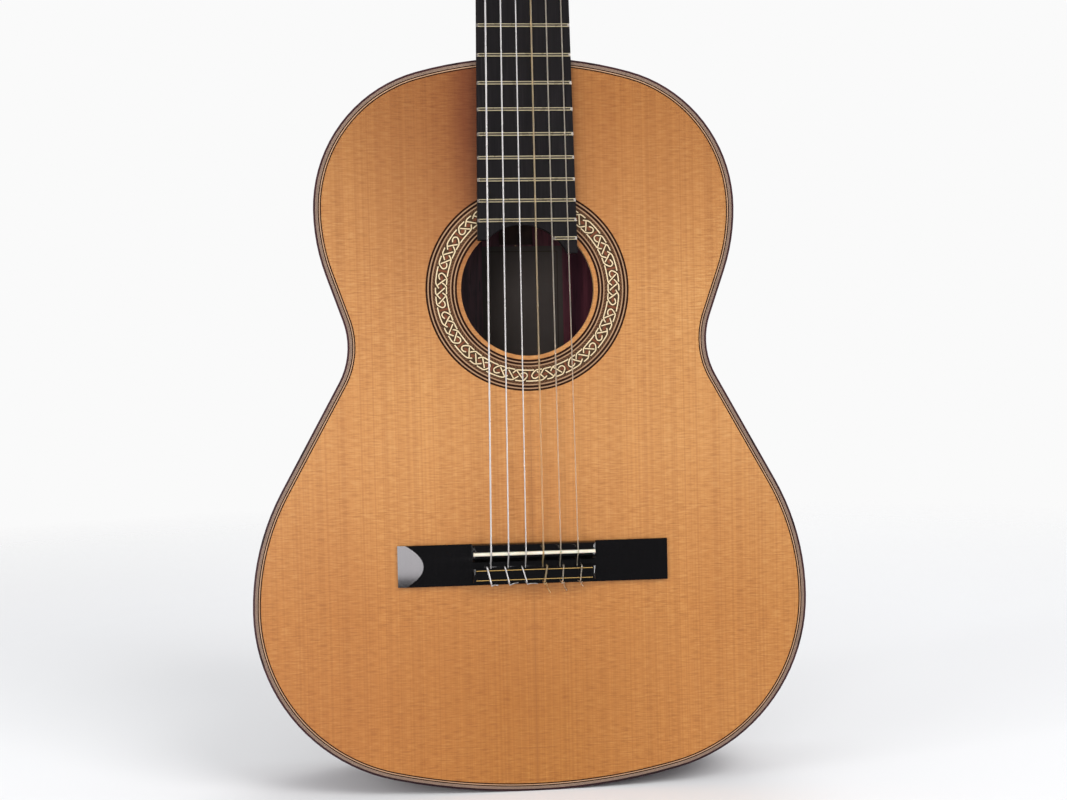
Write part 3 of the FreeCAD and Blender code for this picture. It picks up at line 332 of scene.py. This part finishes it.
def fret_metal():
    """Nickel silver with painted highlights: the flanks are painted bright and the top dark, as reflections
    of the lights and the dark board.
    """
    s = Shader("fret_metal", Metallic=0.4, Roughness=0.3)
    turned = s.node("ShaderNodeTexCoord", {}).outputs["Normal"]
    painted_highlight_slope = s.maths("ABSOLUTE", s.node("ShaderNodeSeparateXYZ", {"Vector": turned}).outputs[2], 0.0)
    # painted highlight and reflection: colour by the slope of the crown, bright on the flanks, dark on top
    base = s.ramp(painted_highlight_slope, (0.0, linear(84, 76, 68)), (0.48, linear(96, 87, 76)),
                  (0.62, linear(255, 240, 196)), (0.84, linear(255, 240, 196)),
                  (0.97, linear(70, 60, 50)))
    wear = s.noise(s.scaled(180, 180, 180), detail=2.0)
    s.set("Base Color", s.shade(base, wear, 0.85, 1.1))
    s.set("Roughness", s.ranged(wear, 0.3, 0.7, 0.24, 0.38))
    return s.material


def wound_string():
    """Silvered copper winding: fine turns along the string, with painted shade in the grooves and brighter
    ridges.
    """
    s = Shader("wound_string", Metallic=0.42, Roughness=0.3)
    turns = s.node("ShaderNodeTexWave", {"Vector": s.scaled(0, 0.12, 1), "Scale": 720.0, "Distortion": 0.0},
                   wave_type="BANDS", bands_direction="Z").outputs["Fac"]
    cloud = s.noise(s.scaled(40, 40, 60), detail=3.0)
    base = s.mix(cloud, linear(206, 202, 201), linear(222, 219, 217))
    # painted shade: darker between the turns, a little lighter on their ridges
    base = s.shade(base, turns, 0.72, 1.05)
    s.set("Base Color", base)
    s.set("Roughness", s.ranged(cloud, 0.3, 0.7, 0.24, 0.4))
    s.bump(turns, 0.00003, 0.6)
    return s.material


def nylon(name, colour, through):
    """Clear nylon, a little cloudy inside."""
    s = Shader(name, Roughness=0.2, Transmission_Weight=through, IOR=1.52, Coat_Weight=0.2)
    cloud = s.noise(s.scaled(200, 200, 25), detail=2.0)
    s.set("Base Color", s.shade(colour, cloud, 0.9, 1.08))
    s.set("Roughness", s.ranged(cloud, 0.3, 0.7, 0.32, 0.45))
    return s.material


def pearl():
    """Imitation pearl: milky swirls under gloss."""
    s = Shader("button_pearl", Roughness=0.22, Coat_Weight=0.8, Coat_Roughness=0.05, Sheen_Weight=0.1)
    swirl = s.noise(s.scaled(130, 130, 130), detail=4.0, rough=0.6, distortion=2.2)
    depth = s.noise(s.scaled(60, 60, 60), detail=2.0, distortion=1.0)
    base = s.ramp(swirl, (0.3, linear(196, 184, 158)), (0.5, linear(226, 218, 198)),
                  (0.7, linear(244, 240, 228)))
    s.set("Base Color", s.shade(base, depth, 0.88, 1.08))
    s.set("Roughness", s.ranged(swirl, 0.3, 0.7, 0.16, 0.3))
    return s.material


def ivory_plastic():
    """Cream plastic of the rollers, rubbed in fine rings."""
    s = Shader("roller_plastic", Roughness=0.3, Coat_Weight=0.3, Coat_Roughness=0.1)
    cloud = s.noise(s.scaled(90, 90, 90), detail=2.0)
    rub = s.noise(s.scaled(1600, 200, 200), detail=2.0)
    base = s.mix(cloud, linear(222, 214, 194), linear(238, 233, 218))
    s.set("Base Color", s.shade(base, rub, 0.93, 1.04))
    s.set("Roughness", s.ranged(rub, 0.3, 0.7, 0.24, 0.4))
    return s.material


def spruce(name, light, dark):
    """Bare spruce of the inner parts."""
    s = Shader(name, Roughness=0.62)
    rings = s.noise(s.scaled(60, 700, 60), detail=2.0)
    fibre = s.noise(s.scaled(900, 900, 900), detail=3.0)
    base = s.mix(s.ranged(rings, 0.4, 0.6), light, dark)
    s.set("Base Color", s.shade(base, fibre, 0.9, 1.08))
    s.set("Roughness", s.ranged(fibre, 0.2, 0.8, 0.55, 0.72))
    return s.material


BORDER = (3.5 * MM, 4.2 * MM)          # the printed line's two edges, from the label's rim
BORDER_BLUR = 0.1 * MM


def paper():
    """Blank label with a plain printed border, browned a little towards its rim; its cream paper is painted
    dark with the shade inside the body.
    """
    low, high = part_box("label")
    s = Shader("label_paper", Roughness=0.8)
    parts = s.node("ShaderNodeSeparateXYZ", {"Vector": s.place}).outputs
    rims = []
    for part, a, b in ((parts[0], low.x, high.x), (parts[2], low.z, high.z)):
        from_middle = s.maths("ABSOLUTE", s.maths("SUBTRACT", part, (a + b) / 2), 0.0)
        rims.append(s.maths("SUBTRACT", (b - a) / 2, from_middle))
    rim = s.maths("MINIMUM", rims[0], rims[1])
    inner, outer = BORDER
    line = s.maths("MULTIPLY", s.ranged(rim, inner, inner + BORDER_BLUR),
                   s.ranged(rim, outer, outer - BORDER_BLUR))
    fibre = s.noise(s.scaled(500, 500, 500), detail=4.0)
    stain = s.noise(s.scaled(40, 40, 40), detail=3.0)
    # painted shade: the cream paper darkened to how it looks in the shade inside the body
    base = s.mix(stain, linear(96, 88, 84), linear(82, 75, 71))
    base = s.mix(s.ranged(rim, 0.0, 0.012, 0.35, 0.0), base, linear(68, 59, 52))
    base = s.mix(s.maths("MULTIPLY", line, 0.7), base, linear(52, 36, 26))
    s.set("Base Color", s.shade(base, fibre, 0.95, 1.04))
    s.set("Roughness", s.ranged(fibre, 0.2, 0.8, 0.74, 0.88))
    return s.material


def floor_paper():
    """White paper that fades into the plain background away from the object."""
    s = Shader("floor_paper", Roughness=0.9, Specular_IOR_Level=0.1)
    cloud = s.noise(s.scaled(1.5, 1.5, 1.5), detail=2.0)
    s.set("Base Color", s.mix(cloud, linear(235, 234, 234), linear(239, 239, 239)))
    measured = s.node("ShaderNodeVectorMath", {0: s.place, 1: (0.0, 0.35, 0.0)}, operation="DISTANCE")
    s.set("Alpha", s.ranged(measured.outputs["Value"], 0.55, 1.7, 1.0, 0.0))
    return s.material


LIGHT_LINE = inlay("line_maple", linear(162, 128, 98))
DARK_LINE = inlay("line_dyed", linear(42, 18, 6))
EDGE_LIGHT = inlay("line_edge", linear(178, 142, 112))
ROPE_TAN = inlay("veneer_tan", linear(152, 129, 112))
ROPE_DARK = inlay("veneer_brown", linear(72, 50, 44))
KNOT_CREAM = inlay("knot_cream", linear(220, 198, 160), 0.1)
KNOT_GROUND = inlay("knot_ground", linear(68, 50, 34), 0.25)
KNOT_RED = inlay("knot_red", linear(110, 63, 43), 0.2)
STITCH_BROWN = inlay("stitch_brown", linear(72, 46, 30), 0.2)
STITCH_LIGHT = inlay("stitch_light", linear(100, 70, 48), 0.2)
SILVER_WOUND = wound_string()
NYLON_AMBER = nylon("string_amber", linear(240, 212, 160), 0.86)
NYLON_CLEAR = nylon("string_clear", linear(240, 226, 204), 0.88)


def paint_nodes():
    """Gives every carried-over node its finished material."""
    back = dark_wood("rosewood_back", "z", "x", ROSEWOOD)
    side = dark_wood("rosewood_side", "xz", "y", ROSEWOOD)
    plate = dark_wood("rosewood_headplate", "yz", "x", HEAD_ROSEWOOD, 0.1, 110.0)
    binding = dark_wood("binding_wood", "xz", "y", BINDING_WOOD)
    neck = neck_wood()
    bone_shader = bone()
    brace = spruce("brace_spruce", linear(222, 190, 140), linear(196, 154, 104))
    stained = spruce("stained_spruce", linear(70, 44, 34), linear(52, 32, 26))
    brass = metal("plate_brass", linear(204, 176, 122), 0.3, (300, 300, 2600), linear(164, 134, 88))
    gear = metal("gear_brass", linear(200, 168, 112), 0.32, (2600, 300, 300), linear(158, 126, 82))
    steel = metal("shaft_steel", linear(206, 204, 198), 0.24, (300, 2600, 300))
    by_node = {
        "soundboard": cedar(), "bindings": binding, "side_bass": side, "side_treble": side,
        "back_halves": back, "seam_inlays": LIGHT_LINE, "heel_cap": back, "headplate": plate,
        "neck_shaft": neck, "heel_block": neck, "headstock": neck,
        "fingerboard": ebony("ebony_board", 0.5, 0.0, 0.3, 0.24, 18.5),
        "bridge": ebony("ebony_bridge", 0.2, 1.0, 0.05, 0.2, 6),
        "saddle": bone_shader, "nut": bone_shader, "tail_block": brace, "linings": brace,
        "harmonic_bars": brace, "fan_braces": brace, "soundhole_patch": brace, "back_braces": brace,
        "back_centre_strip": stained, "label": paper(),
        "frets": fret_metal(),
        "tie_block_trim": metal("gold_line", linear(226, 184, 108), 0.3, metallic=0.4),
        "tuner_plates": brass, "plate_screws": gear,
    }
    pearl_shader, ivory = pearl(), ivory_plastic()
    for number in range(1, 7):
        by_node[f"gear_{number}"] = gear
        by_node[f"worm_{number}"] = steel
        by_node[f"button_{number}"] = pearl_shader
        by_node[f"roller_{number}"] = ivory
        by_node[f"string_{number}"] = SILVER_WOUND if number > 3 else NYLON_CLEAR
    by_node["string_3"] = NYLON_AMBER
    for name, material in by_node.items():
        nodes[name].data.materials[0] = material


WELD_DISTANCE = 0.002 * MM
SHARP_ANGLE = math.radians(30)


def soften(name, width):
    """Small rounded edges on a carried-over node, so that they catch light."""
    weld = nodes[name].modifiers.new("weld", "WELD")
    weld.merge_threshold = WELD_DISTANCE
    bevel = nodes[name].modifiers.new("edges", "BEVEL")
    bevel.width = width
    bevel.segments = 3
    bevel.limit_method = "ANGLE"
    bevel.angle_limit = SHARP_ANGLE
    bevel.use_clamp_overlap = True
    bevel.harden_normals = True


# ---- body outline, for the strips that follow it ------------------------------------------------
UPPER = (139.7 * MM, 387.8 * MM, 93.5 * MM, 130.0 * MM)    # half width, height, shoulder and flank radius
WAIST = (119.4 * MM, 299.0 * MM, 50.0 * MM)                # half width, height, radius
LOWER = (184.9 * MM, 125.5 * MM, 163.0 * MM, 117.5 * MM)   # half width, height, flank and corner radius
OUTLINE_STEP = 1.0 * MM


def end_arc(corner_x, corner_r, reach):
    """Radius of the arc that closes the neck or tail end and meets the corner arc smoothly."""
    return (corner_x ** 2 + reach ** 2 - corner_r ** 2) / (2 * (reach - corner_r))


def cross_angle(bout, bout_r, side):
    """Angle, seen from the bout's centre, of the straight line between its arc and the waist's."""
    dx, dz = WAIST[0] + WAIST[2] - bout[0], WAIST[1] - bout[1]
    return math.atan2(dz, dx) + side * math.acos((bout_r + WAIST[2]) / math.hypot(dx, dz))


def half_outline(inset):
    """Points down the treble edge, moved inwards. Different insets match point for point."""
    shoulder, upper = (UPPER[0] - UPPER[2], UPPER[1]), (UPPER[0] - UPPER[3], UPPER[1])
    lower, corner = (LOWER[0] - LOWER[2], LOWER[1]), (LOWER[0] - LOWER[3], LOWER[1])
    waist = (WAIST[0] + WAIST[2], WAIST[1])
    neck_r = end_arc(shoulder[0], UPPER[2], BODY_LENGTH - UPPER[1])
    tail_r = end_arc(corner[0], LOWER[3], LOWER[1])
    neck, tail = (0, BODY_LENGTH - neck_r), (0, tail_r)
    neck_turn = math.atan2(shoulder[1] - neck[1], shoulder[0])
    tail_turn = math.atan2(corner[1] - tail[1], corner[0])
    leave_upper, meet_lower = cross_angle(upper, UPPER[3], 1), cross_angle(lower, LOWER[2], -1)
    arcs = ((neck, neck_r, math.pi / 2, neck_turn), (shoulder, UPPER[2], neck_turn, 0),
            (upper, UPPER[3], 0, leave_upper), (waist, -WAIST[2], leave_upper, meet_lower),
            (lower, LOWER[2], meet_lower, 0), (corner, LOWER[3], 0, tail_turn),
            (tail, tail_r, tail_turn, -math.pi / 2))
    points = []
    for centre, radius, start, end in arcs:
        count = max(4, math.ceil(abs(radius * (end - start)) / OUTLINE_STEP))
        for i in range(count + 1):
            angle = start + (end - start) * i / count
            points.append(Vector((centre[0] + (radius - inset) * math.cos(angle), 0,
                                  centre[1] + (radius - inset) * math.sin(angle))))
    return points


def edge_line(inset):
    """Closed loop inside the body's edge."""
    half = half_outline(inset)
    return half + [Vector((-p.x, 0, p.z)) for p in reversed(half[1:-1])]


# ---- inlaid strips -------------------------------------------------------------------------------
def section(inner, outer, front, back):
    """Four corners of a strip's cross-section."""
    return [inner + Vector((0, back, 0)), inner + Vector((0, front, 0)),
            outer + Vector((0, front, 0)), outer + Vector((0, back, 0))]


def striped(name, rings, materials):
    """Closed strip whose stretches take the materials in turn."""
    piece = closed_sweep(name, rings, materials[0])
    for material in materials[1:]:
        piece.data.materials.append(material)
    corners = len(rings[0])
    for face in piece.data.polygons:
        face.material_index = face.index // corners % len(materials)
    return piece


PURFLING_DEPTH = 1.6 * MM
ROSETTE_DEPTH = 1.2 * MM
ROUND_STEPS = 240
BROWN_SHARE = 0.62             # of each stitch pair


def edge_strip(name, outer, inner, material):
    """Plain strip between two insets from the body's edge."""
    rings = [section(b, a, TOP_Y, TOP_Y + PURFLING_DEPTH)
             for a, b in zip(edge_line(outer), edge_line(inner))]
    return closed_sweep(name, rings, material)


def round_point(radius, angle):
    """Place on a circle about the sound hole, clockwise from the top."""
    return Vector((radius * math.sin(angle), 0, HOLE_Z + radius * math.cos(angle)))


def round_strip(name, r0, r1, material):
    """Plain ring of the rosette."""
    rings = []
    for i in range(ROUND_STEPS):
        angle = 2 * math.pi * i / ROUND_STEPS
        rings.append(section(round_point(r0, angle), round_point(r1, angle), TOP_Y, TOP_Y + ROSETTE_DEPTH))
    return closed_sweep(name, rings, material)


def stitched_ring(name, r0, r1, count, slant):
    """Ring of slanting stitches, brown and light in turn."""
    rings = []
    for number in range(count):
        for share in (0, BROWN_SHARE):
            angle = 2 * math.pi * (number + share) / count
            rings.append(section(round_point(r0, angle + slant), round_point(r1, angle),
                                 TOP_Y, TOP_Y + ROSETTE_DEPTH))
    return striped(name, rings, (STITCH_BROWN, STITCH_LIGHT))


# ---- plaited band of the rosette -----------------------------------------------------------------
PLAIT_REPEATS = 14
PLAIT_MIDDLE = 57.4 * MM
PLAIT_HALF = 3.6 * MM
RIBBON_HALF = 0.38 * MM
# one repeat from bar to bar: across the band -1 is its inner and 1 its outer edge
PLAIT_STROKES = (
    ((0.56, 0.42), (0.62, 0.72), (0.68, 0.95), (0.76, 1), (0.9, 1), (1.0, 1), (1.08, 1)),
    ((0.17, 0.62), (0.25, -0.1), (0.33, -0.72)),
    ((0.40, -1), (0.5, -1), (0.57, -1), (0.62, -0.85), (0.69, -0.25)),
    ((0.78, 0.3), (0.84, 0.52), (0.90, 0.5), (0.94, 0.1), (0.92, -0.3), (0.86, -0.75), (0.80, -0.98),
     (0.72, -1), (0.66, -1)),
    ((0.56, -0.66), (0.47, 0.05), (0.40, 0.70)),
    ((0.345, 1), (0.25, 1), (0.17, 0.97), (0.11, 0.62), (0.06, 0.1), (0.08, -0.35), (0.14, -0.52),
     (0.20, -0.4), (0.22, -0.28)),
    ((0.29, 0.22), (0.34, 0.5), (0.42, 0.93), (0.48, 1), (0.56, 1)),
    ((0.63, 0.62), (0.71, -0.05), (0.79, -0.70)),
    ((0.88, -1), (1.0, -1), (1.2, -1), (1.28, -0.98), (1.36, -0.85), (1.43, -0.30)),
)
BAR_STROKE = ((0.0, -0.9), (0.0, 0.9))
DIAMONDS = (0.145, 0.36, 0.585, 0.81)
BAR_HALF = 0.7 * MM
KNOT_LIFT, BAR_LIFT, INLAY_DEPTH = 0.05 * MM, 0.02 * MM, 0.3 * MM
STROKE_REACH = 0.2 * MM        # each ribbon runs on a little under the one it meets


def smooth_path(points, steps):
    """Curve through the points."""
    ends = [points[0] * 2 - points[1]] + list(points) + [points[-1] * 2 - points[-2]]
    path = []
    for p0, p1, p2, p3 in zip(ends, ends[1:], ends[2:], ends[3:]):
        for i in range(steps):
            t = i / steps
            path.append(0.5 * (2 * p1 + (p2 - p0) * t + (2 * p0 - 5 * p1 + 4 * p2 - p3) * t * t
                               + (3 * p1 - p0 - 3 * p2 + p3) * t ** 3))
    return path + [points[-1]]


def plait_point(u, v, repeat):
    """Place of the band's own coordinates, along and across, in one repeat."""
    return round_point(PLAIT_MIDDLE + PLAIT_HALF * v, 2 * math.pi * (repeat + u) / PLAIT_REPEATS)


def ribbon(stroke, repeat, half, lift):
    """Rings of one flat ribbon laid along a stroke."""
    path = smooth_path([plait_point(u, v, repeat) for u, v in stroke], 5)
    path[0] += (path[0] - path[1]).normalized() * STROKE_REACH
    path[-1] += (path[-1] - path[-2]).normalized() * STROKE_REACH
    rings = []
    for i, point in enumerate(path):
        along = (path[min(i + 1, len(path) - 1)] - path[max(i - 1, 0)]).normalized()
        side = along.cross(Vector((0, 1, 0))) * half
        rings.append(section(point - side, point + side, TOP_Y - lift, TOP_Y + INLAY_DEPTH))
    return rings


def merged(name, skins, material, smooth=False):
    """One mesh of several open skins of rings."""
    points, faces = [], []
    for rings in skins:
        start, count = len(points), len(rings[0])
        points += [p for ring in rings for p in ring]
        for i in range(len(rings) - 1):
            a = start + i * count
            for j in range(count):
                k = (j + 1) % count
                faces.append((a + j, a + k, a + count + k, a + count + j))
        faces.append(tuple(start + j for j in reversed(range(count))))
        faces.append(tuple(len(points) - count + j for j in range(count)))
    return new_mesh(name, points, faces, material, smooth)


def diamond(u, repeat):
    """Rings of one lozenge tile, narrow at both ends along the band."""
    rings = []
    for step, half in ((-0.075, 0.02), (0.0, 0.36), (0.075, 0.02)):
        low, high = plait_point(u + step, -half, repeat), plait_point(u + step, half, repeat)
        rings.append(section(low, high, TOP_Y - BAR_LIFT, TOP_Y + INLAY_DEPTH))
    return rings


def build_rosette():
    """Rings from the inside out, the plaited band in their middle."""
    r = [v * MM for v in (46.9, 48.3, 49.1, 50.6, 51.4, 53.3, 61.5, 63.1, 63.95, 65.45, 66.3, 67.6)]
    first = round_strip("rosette_dark_1", r[0], r[1], DARK_LINE)
    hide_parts("rosette_lines")
    rings = [first, round_strip("rosette_light_1", r[1], r[2], LIGHT_LINE),
             round_strip("rosette_dark_2", r[2], r[3], DARK_LINE),
             round_strip("rosette_light_2", r[3], r[4], LIGHT_LINE),
             stitched_ring("rosette_stitch_inner", r[4], r[5], 150, 0.03),
             stitched_ring("rosette_stitch_outer", r[6], r[7], 180, -0.03),
             round_strip("rosette_light_3", r[7], r[8], LIGHT_LINE),
             round_strip("rosette_dark_3", r[8], r[9], DARK_LINE),
             round_strip("rosette_light_4", r[9], r[10], LIGHT_LINE),
             round_strip("rosette_dark_4", r[10], r[11], DARK_LINE)]
    ground = round_strip("rosette_ground", r[5], r[6], KNOT_GROUND)
    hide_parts("rosette_mosaic")
    repeats = range(PLAIT_REPEATS)
    knots = merged("rosette_knots",
                   [ribbon(stroke, k, RIBBON_HALF, KNOT_LIFT) for k in repeats for stroke in PLAIT_STROKES],
                   KNOT_CREAM)
    bars = merged("rosette_bars", [ribbon(BAR_STROKE, k, BAR_HALF, BAR_LIFT) for k in repeats], KNOT_RED)
    diamonds = merged("rosette_diamonds", [diamond(u, k) for k in repeats for u in DIAMONDS], KNOT_RED)
    for piece in rings + [ground, knots, bars, diamonds]:
        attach(piece, "root")


BINDING_W, TAN_W, BROWN_W = 1.4, 0.38, 0.25


def build_purfling():
    """From the binding inwards: fine veneers, then dark, light and dark lines, then the top's own wood."""
    lines, inset = [], BINDING_W
    for number in range(3):
        lines.append((f"edge_tan_{number + 1}", inset, inset + TAN_W, ROPE_TAN))
        inset += TAN_W
        if number < 2:
            lines.append((f"edge_brown_{number + 1}", inset, inset + BROWN_W, ROPE_DARK))
            inset += BROWN_W
    top_wood = nodes["soundboard"].data.materials[0]
    lines += [("edge_dark_1", inset, 3.82, DARK_LINE), ("edge_light", 3.82, 4.42, EDGE_LIGHT),
              ("edge_dark_2", 4.42, 5.22, DARK_LINE), ("edge_cedar", 5.22, 5.6, top_wood)]
    for name, outer, inner, material in lines:
        piece = edge_strip(name, outer * MM, inner * MM, material)
        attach(piece, "root")
        if name == "edge_dark_1":
            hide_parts("top_purfling")


# ---- string ends ---------------------------------------------------------------------------------
TUBE_SIDES = 12


def tube_rings(path, radius):
    """Rings of a round tube along a path."""
    along = (path[1] - path[0]).normalized()
    side = along.orthogonal().normalized()
    rings = []
    for i, point in enumerate(path):
        along = (path[min(i + 1, len(path) - 1)] - path[max(i - 1, 0)]).normalized()
        side = (side - along * side.dot(along)).normalized()
        up = along.cross(side)
        ring = []
        for j in range(TUBE_SIDES):
            angle = 2 * math.pi * j / TUBE_SIDES
            ring.append(point + side * (radius * math.cos(angle)) + up * (radius * math.sin(angle)))
        rings.append(ring)
    return rings


SPREAD_SADDLE = 57.5 * MM
TIE_BACK = SADDLE_LINE_Z - 20.7 * MM
TIE_H = 9.0 * MM
ROLLER_R = 5.0 * MM
ROLLER_STRING_X = [x * MM for x in (19.5, 14.8, 13.0)]               # outer pair of strings first
TIE_BACK_SHIFT = (0.0, 0.4, 0.6, 0.6, 1.0, 1.4)                       # mm to the treble side, lowest first
# how far each tail reaches past its knot: across, down the top, and its height over the soundboard
TAILS = ((4.5, -0.9, 4.0), (6.5, 0.2, 4.2), (8.0, -0.8, 4.4),
         (5.0, -7.5, 1.2), (4.5, -6.5, 1.4), (4.0, -4.0, 2.4))
COIL_TURNS, COIL_STEPS = 3.4, 28
COIL_START = 0.6               # turns between the place where the string arrives and the first coil
COIL_PITCH = 2.15              # in string radii
COIL_GAP = 0.05 * MM
END_TUCK = 0.35                # how far the last bit dives towards the roller's axis


def string_material(index):
    return nodes[f"string_{6 - index}"].data.materials[0]


def build_ties():
    """The tail of each string, tucked under its loop behind the bridge's tie block."""
    for index, radius in enumerate(STRING_R):
        sign = -1 if index < 3 else 1
        x = SPREAD_SADDLE * (index - 2.5) / 5
        over_back = x + TIE_BACK_SHIFT[index] * MM
        across, down, height = (v * MM for v in TAILS[index])
        back_z = TIE_BACK - 1.3 * MM

        def place(px, h, z):
            return Vector((px, TOP_Y - h, z))

        back = [place(over_back - sign * 0.2 * MM, TIE_H + 0.1 * MM, back_z - 1.6 * radius),
                place(over_back + 0.5 * MM, TIE_H - 0.9 * MM, back_z - 2.3 * radius),
                place(over_back + 1.4 * MM, TIE_H - 2.0 * MM, back_z - 2.0 * radius),
                place(x + across * 0.6, (TIE_H - 2.4 * MM + height) / 2, back_z - radius + down * 0.5),
                place(x + across, height, back_z - radius + down)]
        piece = merged(f"string_tie_{6 - index}", [tube_rings(smooth_path(back, 8), radius * 0.92)],
                       string_material(index), smooth=True)
        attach(piece, "root")


def build_coils():
    """Three turns and a bit of each string round its roller. They turn with it."""
    for index, radius in enumerate(STRING_R):
        sign = -1 if index < 3 else 1
        place = index if index < 3 else 5 - index
        low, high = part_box(f"roller_{6 - index}")
        axis = Vector((0, (low.y + high.y) / 2, (low.z + high.z) / 2))
        towards = -1 if place == 0 else 1
        wound = ROLLER_R + radius + COIL_GAP
        along_head = HEAD_BACK.cross(Vector((1, 0, 0)))
        path = []
        for i in range(int(COIL_TURNS * COIL_STEPS) + 1):
            turn = i / COIL_STEPS
            angle = 2 * math.pi * turn
            x = sign * (ROLLER_STRING_X[place] + towards * (turn + COIL_START) * COIL_PITCH * radius)
            path.append(axis - HEAD_BACK * (wound * math.cos(angle))
                        + along_head * (wound * math.sin(angle)) + Vector((x, 0, 0)))
        end = path[-1]
        path.append(end + (axis + Vector((end.x, 0, 0)) - end) * END_TUCK)
        piece = merged(f"string_coil_{6 - index}", [tube_rings(path, radius)], string_material(index),
                       smooth=True)
        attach(piece, f"barrel_{6 - index}")


# ---- stage ---------------------------------------------------------------------------------------
FLOOR_SIZE = 16


def area_light(name, place, aim, size, power, colour=(1, 1, 1), diffuse=True, glossy=True):
    data = bpy.data.lights.new(name, "AREA")
    data.shape = "RECTANGLE"
    data.size, data.size_y = size
    data.energy = power
    data.color = colour
    lamp = bpy.data.objects.new(name, data)
    lamp.location = place
    lamp.rotation_euler = (Vector(aim) - Vector(place)).to_track_quat("-Z", "Y").to_euler()
    lamp.visible_diffuse = diffuse
    lamp.visible_glossy = glossy
    bpy.context.scene.collection.objects.link(lamp)


def build_stage():
    """Paper floor, a large soft key from the right, fill and back light, and cards seen in the gloss."""
    bpy.ops.mesh.primitive_plane_add(size=FLOOR_SIZE)
    floor = bpy.context.object
    floor.name = "floor"
    floor.data.materials.append(floor_paper())
    floor.visible_glossy = False
    # large soft lights that shape the body
    area_light("key", (1.3, -1.9, 2.2), (0, 0, 0.45), (1.4, 1.4), 44, glossy=False)
    area_light("fill", (-1.9, -1.5, 1.0), (0, 0, 0.45), (1.2, 1.8), 14)
    area_light("back_light", (0.6, 2.2, 1.9), (0, 0, 0.5), (1.6, 1.6), 22)
    # small ones, there for their reflections: in the bridge's wing, on both edges and on the board
    area_light("low_card", (-0.80, -2.05, 0.0), (-0.08, 0, 0.15), (0.34, 0.33), 3.1, (1.0, 0.96, 1.0))
    area_light("strip_left", (-1.5, -0.75, 0.5), (0, 0, 0.4), (0.16, 1.3), 5)
    area_light("strip_right", (1.5, -0.45, 0.5), (0, 0, 0.4), (0.34, 1.3), 20, diffuse=False)
    area_light("front_left", (-0.6, -1.9, 0.6), (0, 0, 0.35), (0.5, 0.5), 9, glossy=False)
    build_world()
    bpy.context.scene.view_settings.view_transform = "Standard"


def build_world():
    """White behind the object, softer as a light, and dim in reflections, as in a dark room."""
    world = bpy.data.worlds.new("studio")
    bpy.context.scene.world = world
    world.use_nodes = True
    tree = world.node_tree
    path = tree.nodes.new("ShaderNodeLightPath")
    below = tree.nodes["Background"]
    below.inputs["Color"].default_value = (0.9, 0.92, 0.95, 1)
    below.inputs["Strength"].default_value = 0.66
    for ray, colour, strength in (("Is Glossy Ray", (0.9, 0.9, 1.0, 1), 0.10),
                                  ("Is Camera Ray", linear(250, 250, 250), 1.0)):
        seen = tree.nodes.new("ShaderNodeBackground")
        seen.inputs["Color"].default_value = colour
        seen.inputs["Strength"].default_value = strength
        mix = tree.nodes.new("ShaderNodeMixShader")
        tree.links.new(path.outputs[ray], mix.inputs[0])
        tree.links.new(below.outputs[0], mix.inputs[1])
        tree.links.new(seen.outputs[0], mix.inputs[2])
        below = mix
    tree.links.new(below.outputs[0], tree.nodes["World Output"].inputs[0])


CAMERA_PLACE = Vector((-79.3 * MM, -971 * MM, 280.6 * MM))
CAMERA_LENS, SENSOR_WIDTH = 47.235, 36
CAMERA_TURNS = ((-0.0228, "Z"), (-0.0879, "Y"), (0.0213, "X"))
LEVEL_VIEW = Matrix(((1, 0, 0), (0, 0, -1), (0, 1, 0)))       # right, down and away, for a look along +Y


def build_camera():
    """Nearly level view of the front, from a little to the left and below the middle."""
    data = bpy.data.cameras.new("camera")
    data.sensor_width = SENSOR_WIDTH
    data.lens = CAMERA_LENS
    camera = bpy.data.objects.new("camera", data)
    bpy.context.scene.collection.objects.link(camera)
    third, second, first = (Matrix.Rotation(angle, 3, axis) for angle, axis in CAMERA_TURNS)
    rows = third @ second @ first @ LEVEL_VIEW
    axes = Matrix((rows[0], -rows[1], -rows[2])).transposed()
    camera.matrix_world = Matrix.Translation(CAMERA_PLACE) @ axes.to_4x4()
    bpy.context.scene.camera = camera


paint_nodes()
for node, width in (("bridge", 0.5), ("headstock", 0.8), ("nut", 0.35), ("saddle", 0.25),
                    ("fingerboard", 0.3), ("heel_cap", 0.5), ("tuner_plates", 0.2)):
    soften(node, width * MM)
build_rosette()
build_purfling()
build_ties()
build_coils()
build_stage()
build_camera()
